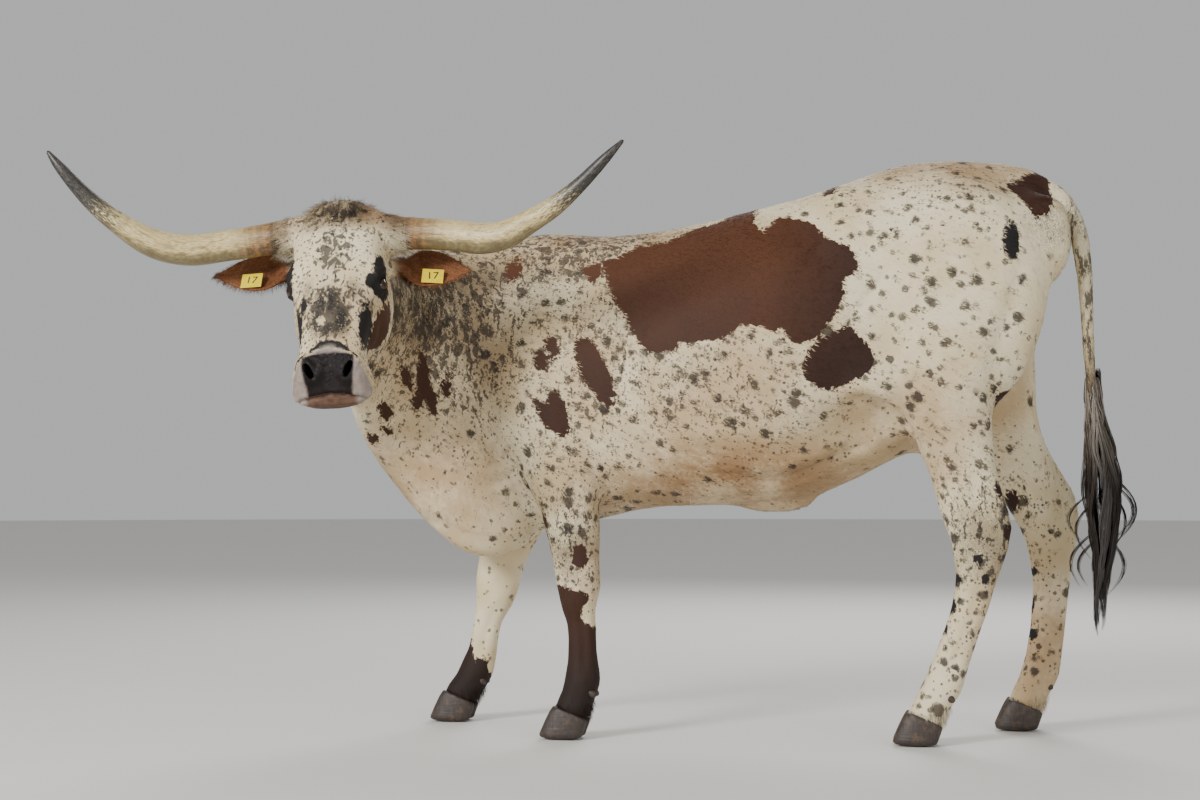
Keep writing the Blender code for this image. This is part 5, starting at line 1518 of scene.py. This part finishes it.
def build_long_hair(skin):
    """The shag of the poll and the horn roots, the ears' fringe and lining, the hair over the claws."""
    mesh = skin.data
    axes = head_matrix()

    def shag(points):
        a, b, c = head_coordinates(points).T
        crown = smooth(0.105, 0.030, np.abs(a)) * smooth(0.085, 0.030, b) * smooth(-0.13, -0.08, c)
        root = smooth(0.105, 0.125, np.abs(a)) * smooth(0.110, 0.090, b) * smooth(-0.125, -0.110, c)
        return (120000 * crown + 90000 * root) * head_share(points) * (coat_fields(points)["ear"] < 0.1)

    def fringe(points):
        edge = 1 - smooth(0.35, 0.75, np.abs(normals_of(mesh) @ axes[2]))
        return 330000 * edge * (coat_fields(points)["ear"] > 0.6)

    def lining(points):
        inside = smooth(0.2, 0.6, normals_of(mesh) @ axes[2])
        return 70000 * inside * (coat_fields(points)["ear"] > 0.3)

    def coronet(points):
        return 80000 * smooth(0.105, 0.085, points[:, 2])

    density = {"shag": shag, "fringe": fringe, "lining": lining, "coronet": coronet}
    material = bpy.data.materials["short cattle hair"]
    for word, seed, shortest, longest, unruly, rise in LONG_HAIR:
        roots, normals, rng = scatter(mesh, density[word], seed)
        count = len(roots)
        a = head_coordinates(roots)[:, 0]
        out = np.sign(a)
        frame = axes
        length = rng.uniform(shortest, longest, count)
        if word == "shag":
            horn = smooth(0.100, 0.125, np.abs(a))
            local = np.stack([a * 6 * (1 - horn) + out * horn, 0.55 - 0.2 * horn, 0.35 * (1 - horn)], axis=1)
            length = length * (1 - 0.25 * horn)
        elif word == "fringe":
            local = np.stack([0.45 * out, 0.15 + 0 * a, 0.10 + 0 * a], axis=1)
        elif word == "lining":
            local = np.stack([out, 0.25 + 0 * a, 0 * a], axis=1)
        else:
            local = np.array([0.05, 0.0, -1.0])
            frame = np.eye(3)
        way = (local + unruly * rng.normal(size=roots.shape)) @ frame
        way = unit(way + normals * rise)
        side = unit(np.cross(normals, way))
        droop = np.array([0.0, 0.0, -0.6 if word == "shag" else -1.0])
        t = np.linspace(0, 1, 5)
        paths = roots[:, None, :] - normals[:, None, :] * 0.001
        paths = paths + way[:, None, :] * (length[:, None] * t)[:, :, None]
        paths = paths + droop * (length[:, None] * 0.35 * t**2)[:, :, None]
        width = rng.uniform(0.0005, 0.0011, count)
        obj = strands(
            "coat_" + word,
            3,
            paths,
            side,
            np.cross(way, side),
            width,
            width * 0.6,
            roots,
            coat_fields(roots),
            rng.random(count),
        )
        finish_piece(obj, material, "long_hair")


def build_lashes():
    rng = np.random.default_rng(31)
    paths = []
    for side in (1, -1):
        centre, gaze, slit, lift = eye_frame(side)
        up = lift if lift.z > 0 else -lift
        for turn in np.linspace(-1.1, 1.1, 46):
            turn += rng.uniform(-0.02, 0.02)
            foot = centre + (slit * math.sin(turn) + up * math.cos(turn) * 0.62 + gaze * 0.62) * 0.0235
            way = (gaze * 0.9 + up * 0.25 + slit * math.sin(turn) * 0.5).normalized()
            long = rng.uniform(0.014, 0.020)
            t = np.linspace(0, 1, 5)[:, None]
            paths.append(np.array(foot) + np.array(way) * long * t + np.array([0, 0, -0.005]) * t**2)
    paths = np.array(paths)
    roots = paths[:, 0]
    run = unit(paths[:, -1] - roots)
    upright = unit(np.cross(run, np.cross(np.array([0.0, 0.0, 1.0]), run)))
    side = np.cross(upright, run)
    width = np.full(len(paths), 0.0007)
    fields = coat_fields(roots)
    fields["black"] = np.full(len(paths), 0.03)
    obj = strands("lashes", 3, paths, side, upright, width, width, roots, fields, rng.random(len(paths)))
    finish_piece(obj, bpy.data.materials["short cattle hair"], "long_hair")


def switch_material():
    """Coarse tail hair: dark grey-brown to black, with a dull gloss along each strand."""
    made, node, shader = new_material("coarse tail hair")
    tint = node("Attribute", out="Fac", attribute_name="tint")
    height = node("SeparateXYZ", (node("TexCoord", out="Object"),), out=2)
    dark = node("Mix", {0: tint, 6: colour("#100D0B"), 7: colour("#3D342C")}, **MIX)
    grey = node("Mix", {0: tint, 6: colour("#574D44"), 7: colour("#B3A797")}, **MIX)
    share = node("MapRange", (height, 0.64, 0.90))
    tone = node("Mix", {0: share, 6: dark, 7: grey}, **MIX)
    feed(shader, {"Base Color": tone, "Roughness": 0.48})
    return made


def switch_paths(settings, rng, rings):
    """Paths of the strands: each lock's strands keep together round the lock's own wavy middle."""
    rows = np.array(SWITCH)[::-1]
    t = np.linspace(0, 1, rings + 2)
    locks = []
    for tier, (top, long, count) in enumerate(SWITCH_TIERS):
        for i in range(count):
            turn = 2 * math.pi * (i + 0.5 * (tier % 2)) / count + rng.uniform(-0.25, 0.25)
            height = top - rng.uniform(0, 0.04) - long * rng.uniform(0.86, 1.05) * t
            height = np.maximum(height, 0.237 + 0.02 * rng.random())
            reach = np.interp(height, rows[:, 0], rows[:, 2])
            share = rng.uniform(0.45, 0.95) * (0.75 + 0.25 * np.sin(np.pi * t))
            angle = turn + 0.5 * np.sin(2.4 * t + rng.uniform(0, 6.28))
            phase = rng.uniform(0, 6.28)
            wave = rng.uniform(0.003, 0.008) * t * np.sin(rng.uniform(9, 16) * t + phase)
            x = np.interp(height, rows[:, 0], rows[:, 1]) + 1.35 * reach * share * np.cos(angle) + wave
            y = SPINE + 0.95 * reach * share * np.sin(angle) + 0.7 * wave
            bulk = rng.uniform(0.0065, 0.0095) * np.sin(np.pi * (0.22 + 0.74 * t)) ** 0.7
            locks.append((np.stack([x, y, height], axis=1), bulk, int(settings.strands)))
    for top, end, bow, aside, shift in SWITCH_CURLS:
        height = top + (end - top) * t
        x = np.interp(top, rows[:, 0], rows[:, 1]) + bow * np.sin(np.pi * t) + shift * t**2
        y = SPINE + aside * (0.4 + np.sin(np.pi * t * 0.9))
        bulk = 0.0050 * np.sin(np.pi * (0.25 + 0.72 * t)) ** 0.6
        locks.append((np.stack([x, y, height], axis=1), bulk, int(settings.strands) // 3))
    paths = []
    for middle, bulk, count in locks:
        for _ in range(count):
            ring = rng.uniform(0, 2 * math.pi) + rng.uniform(-1.6, 1.6) * t
            spread = bulk * math.sqrt(rng.random())
            stray = rng.uniform(0.0, 0.0016) * np.sin(rng.uniform(5, 12) * t + rng.uniform(0, 6.28))
            offset = np.stack([spread * np.cos(ring) + stray, spread * np.sin(ring) - stray, 0 * t], axis=1)
            paths.append(middle + offset)
    return np.array(paths)


def build_switch():
    """Strands in wavy locks that part, curl and run together again to a thin tip."""
    settings = bpy.context.scene.longhorn_switch
    rng = np.random.default_rng(5)
    rings = 13
    paths = switch_paths(settings, rng, rings)
    run = unit(paths[:, -1] - paths[:, 0])
    halfway = paths[:, rings // 2 + 1]
    middle = np.interp(halfway[:, 2], *np.array(SWITCH)[::-1, :2].T)
    away = np.stack([halfway[:, 0] - middle, halfway[:, 1] - SPINE, 0 * middle], axis=1)
    away = unit(away + 1e-5)
    away = unit(away - run * (away * run).sum(axis=1, keepdims=True))
    side = np.cross(away, run)
    width = settings.strand_width * rng.uniform(0.7, 1.3, len(paths))
    tint = rng.random(len(paths))
    obj = strands("tail_switch_hair", rings, paths, side, away, width, width * 0.7, paths[:, 0], {}, tint)
    finish_piece(obj, switch_material(), "long_hair", "tail_switch")


def build_stage():
    scene = bpy.context.scene
    bm = bmesh.new()
    bmesh.ops.create_circle(bm, cap_ends=True, segments=96, radius=30.0)
    floor = object_of("floor", bm)
    paint, _, shader = new_material("matt painted floor")
    feed(shader, {"Base Color": colour("#DAD8D3"), "Roughness": 0.85})
    floor.data.materials.append(paint)
    world = bpy.data.worlds.new("soft room")
    scene.world = world
    world.use_nodes = True
    feed(world.node_tree.nodes["Background"], {"Color": colour("#E9EAEA"), "Strength": 0.62})
    for name, place, aim, width, watts in LIGHTS:
        light = bpy.data.lights.new(name, "AREA")
        light.shape = "DISK"
        light.size = width
        light.energy = watts
        lamp = placed(name, light)
        lamp.location = place
        lamp.rotation_euler = (Vector(aim) - Vector(place)).to_track_quat("-Z", "Y").to_euler()
    lens = bpy.data.cameras.new("camera")
    lens.sensor_width = 36.0
    lens.lens = CAMERA_LENS
    scene.camera = placed("camera", lens)
    scene.camera.location = CAMERA_PLACE
    level = Vector((-math.sin(CAMERA_TURN), math.cos(CAMERA_TURN), 0))
    ahead = level * math.cos(CAMERA_TIP) + Vector((0, 0, math.sin(CAMERA_TIP)))
    scene.camera.rotation_euler = ahead.to_track_quat("-Z", "Y").to_euler()


class LONGHORN_OT_skin(bpy.types.Operator):
    """Makes the skin and lays the short coat over it"""

    bl_idname = "longhorn.skin"
    bl_label = "Skin and coat"

    def execute(self, context):
        markings_group()
        skin = build_skin()
        build_coat(skin)
        build_long_hair(skin)
        build_lashes()
        return {"FINISHED"}


class LONGHORN_OT_switch(bpy.types.Operator):
    """Hangs the tail's long hair"""

    bl_idname = "longhorn.switch"
    bl_label = "Tail switch"

    def execute(self, context):
        build_switch()
        return {"FINISHED"}


class LONGHORN_OT_horns(bpy.types.Operator):
    """Makes both horns"""

    bl_idname = "longhorn.horns"
    bl_label = "Horns"

    def execute(self, context):
        build_horns()
        return {"FINISHED"}


class LONGHORN_OT_eyes(bpy.types.Operator):
    """Sets the eyes behind their lids"""

    bl_idname = "longhorn.eyes"
    bl_label = "Eyes"

    def execute(self, context):
        build_eyes()
        return {"FINISHED"}


class LONGHORN_OT_claws(bpy.types.Operator):
    """Makes the claws and dewclaws"""

    bl_idname = "longhorn.claws"
    bl_label = "Claws"

    def execute(self, context):
        build_claws()
        return {"FINISHED"}


class LONGHORN_OT_tags(bpy.types.Operator):
    """Finishes the ear tags"""

    bl_idname = "longhorn.tags"
    bl_label = "Ear tags"

    def execute(self, context):
        build_tags()
        return {"FINISHED"}


class LONGHORN_OT_stage(bpy.types.Operator):
    """Sets the floor, the lights and the camera"""

    bl_idname = "longhorn.stage"
    bl_label = "Stage"

    def execute(self, context):
        build_stage()
        return {"FINISHED"}


OPERATORS = (
    LONGHORN_OT_skin,
    LONGHORN_OT_switch,
    LONGHORN_OT_horns,
    LONGHORN_OT_eyes,
    LONGHORN_OT_claws,
    LONGHORN_OT_tags,
    LONGHORN_OT_stage,
)


class LONGHORN_PT_panel(bpy.types.Panel):
    """Lists the steer's pieces in the sidebar"""

    bl_label = "Longhorn Steer"
    bl_space_type = "VIEW_3D"
    bl_region_type = "UI"
    bl_category = "Longhorn"

    def draw(self, context):
        for operator in OPERATORS:
            self.layout.operator(operator.bl_idname)
        for key in ("cream", "chestnut", "hair_length", "hair_width", "tufts"):
            self.layout.prop(context.scene.longhorn_coat, key)
        for key in ("strand_width", "strands"):
            self.layout.prop(context.scene.longhorn_switch, key)


CLASSES = (LonghornCoat, LonghornSwitch, *OPERATORS, LONGHORN_PT_panel)


def register():
    for cls in CLASSES:
        bpy.utils.register_class(cls)
    bpy.types.Scene.longhorn_coat = PointerProperty(type=LonghornCoat)
    bpy.types.Scene.longhorn_switch = PointerProperty(type=LonghornSwitch)


def unregister():
    del bpy.types.Scene.longhorn_switch
    del bpy.types.Scene.longhorn_coat
    for cls in reversed(CLASSES):
        bpy.utils.unregister_class(cls)


def main():
    register()
    for name in ("skin", "switch", "horns", "eyes", "claws", "tags", "stage"):
        getattr(bpy.ops.longhorn, name)()


if __name__ == "__main__":
    main()
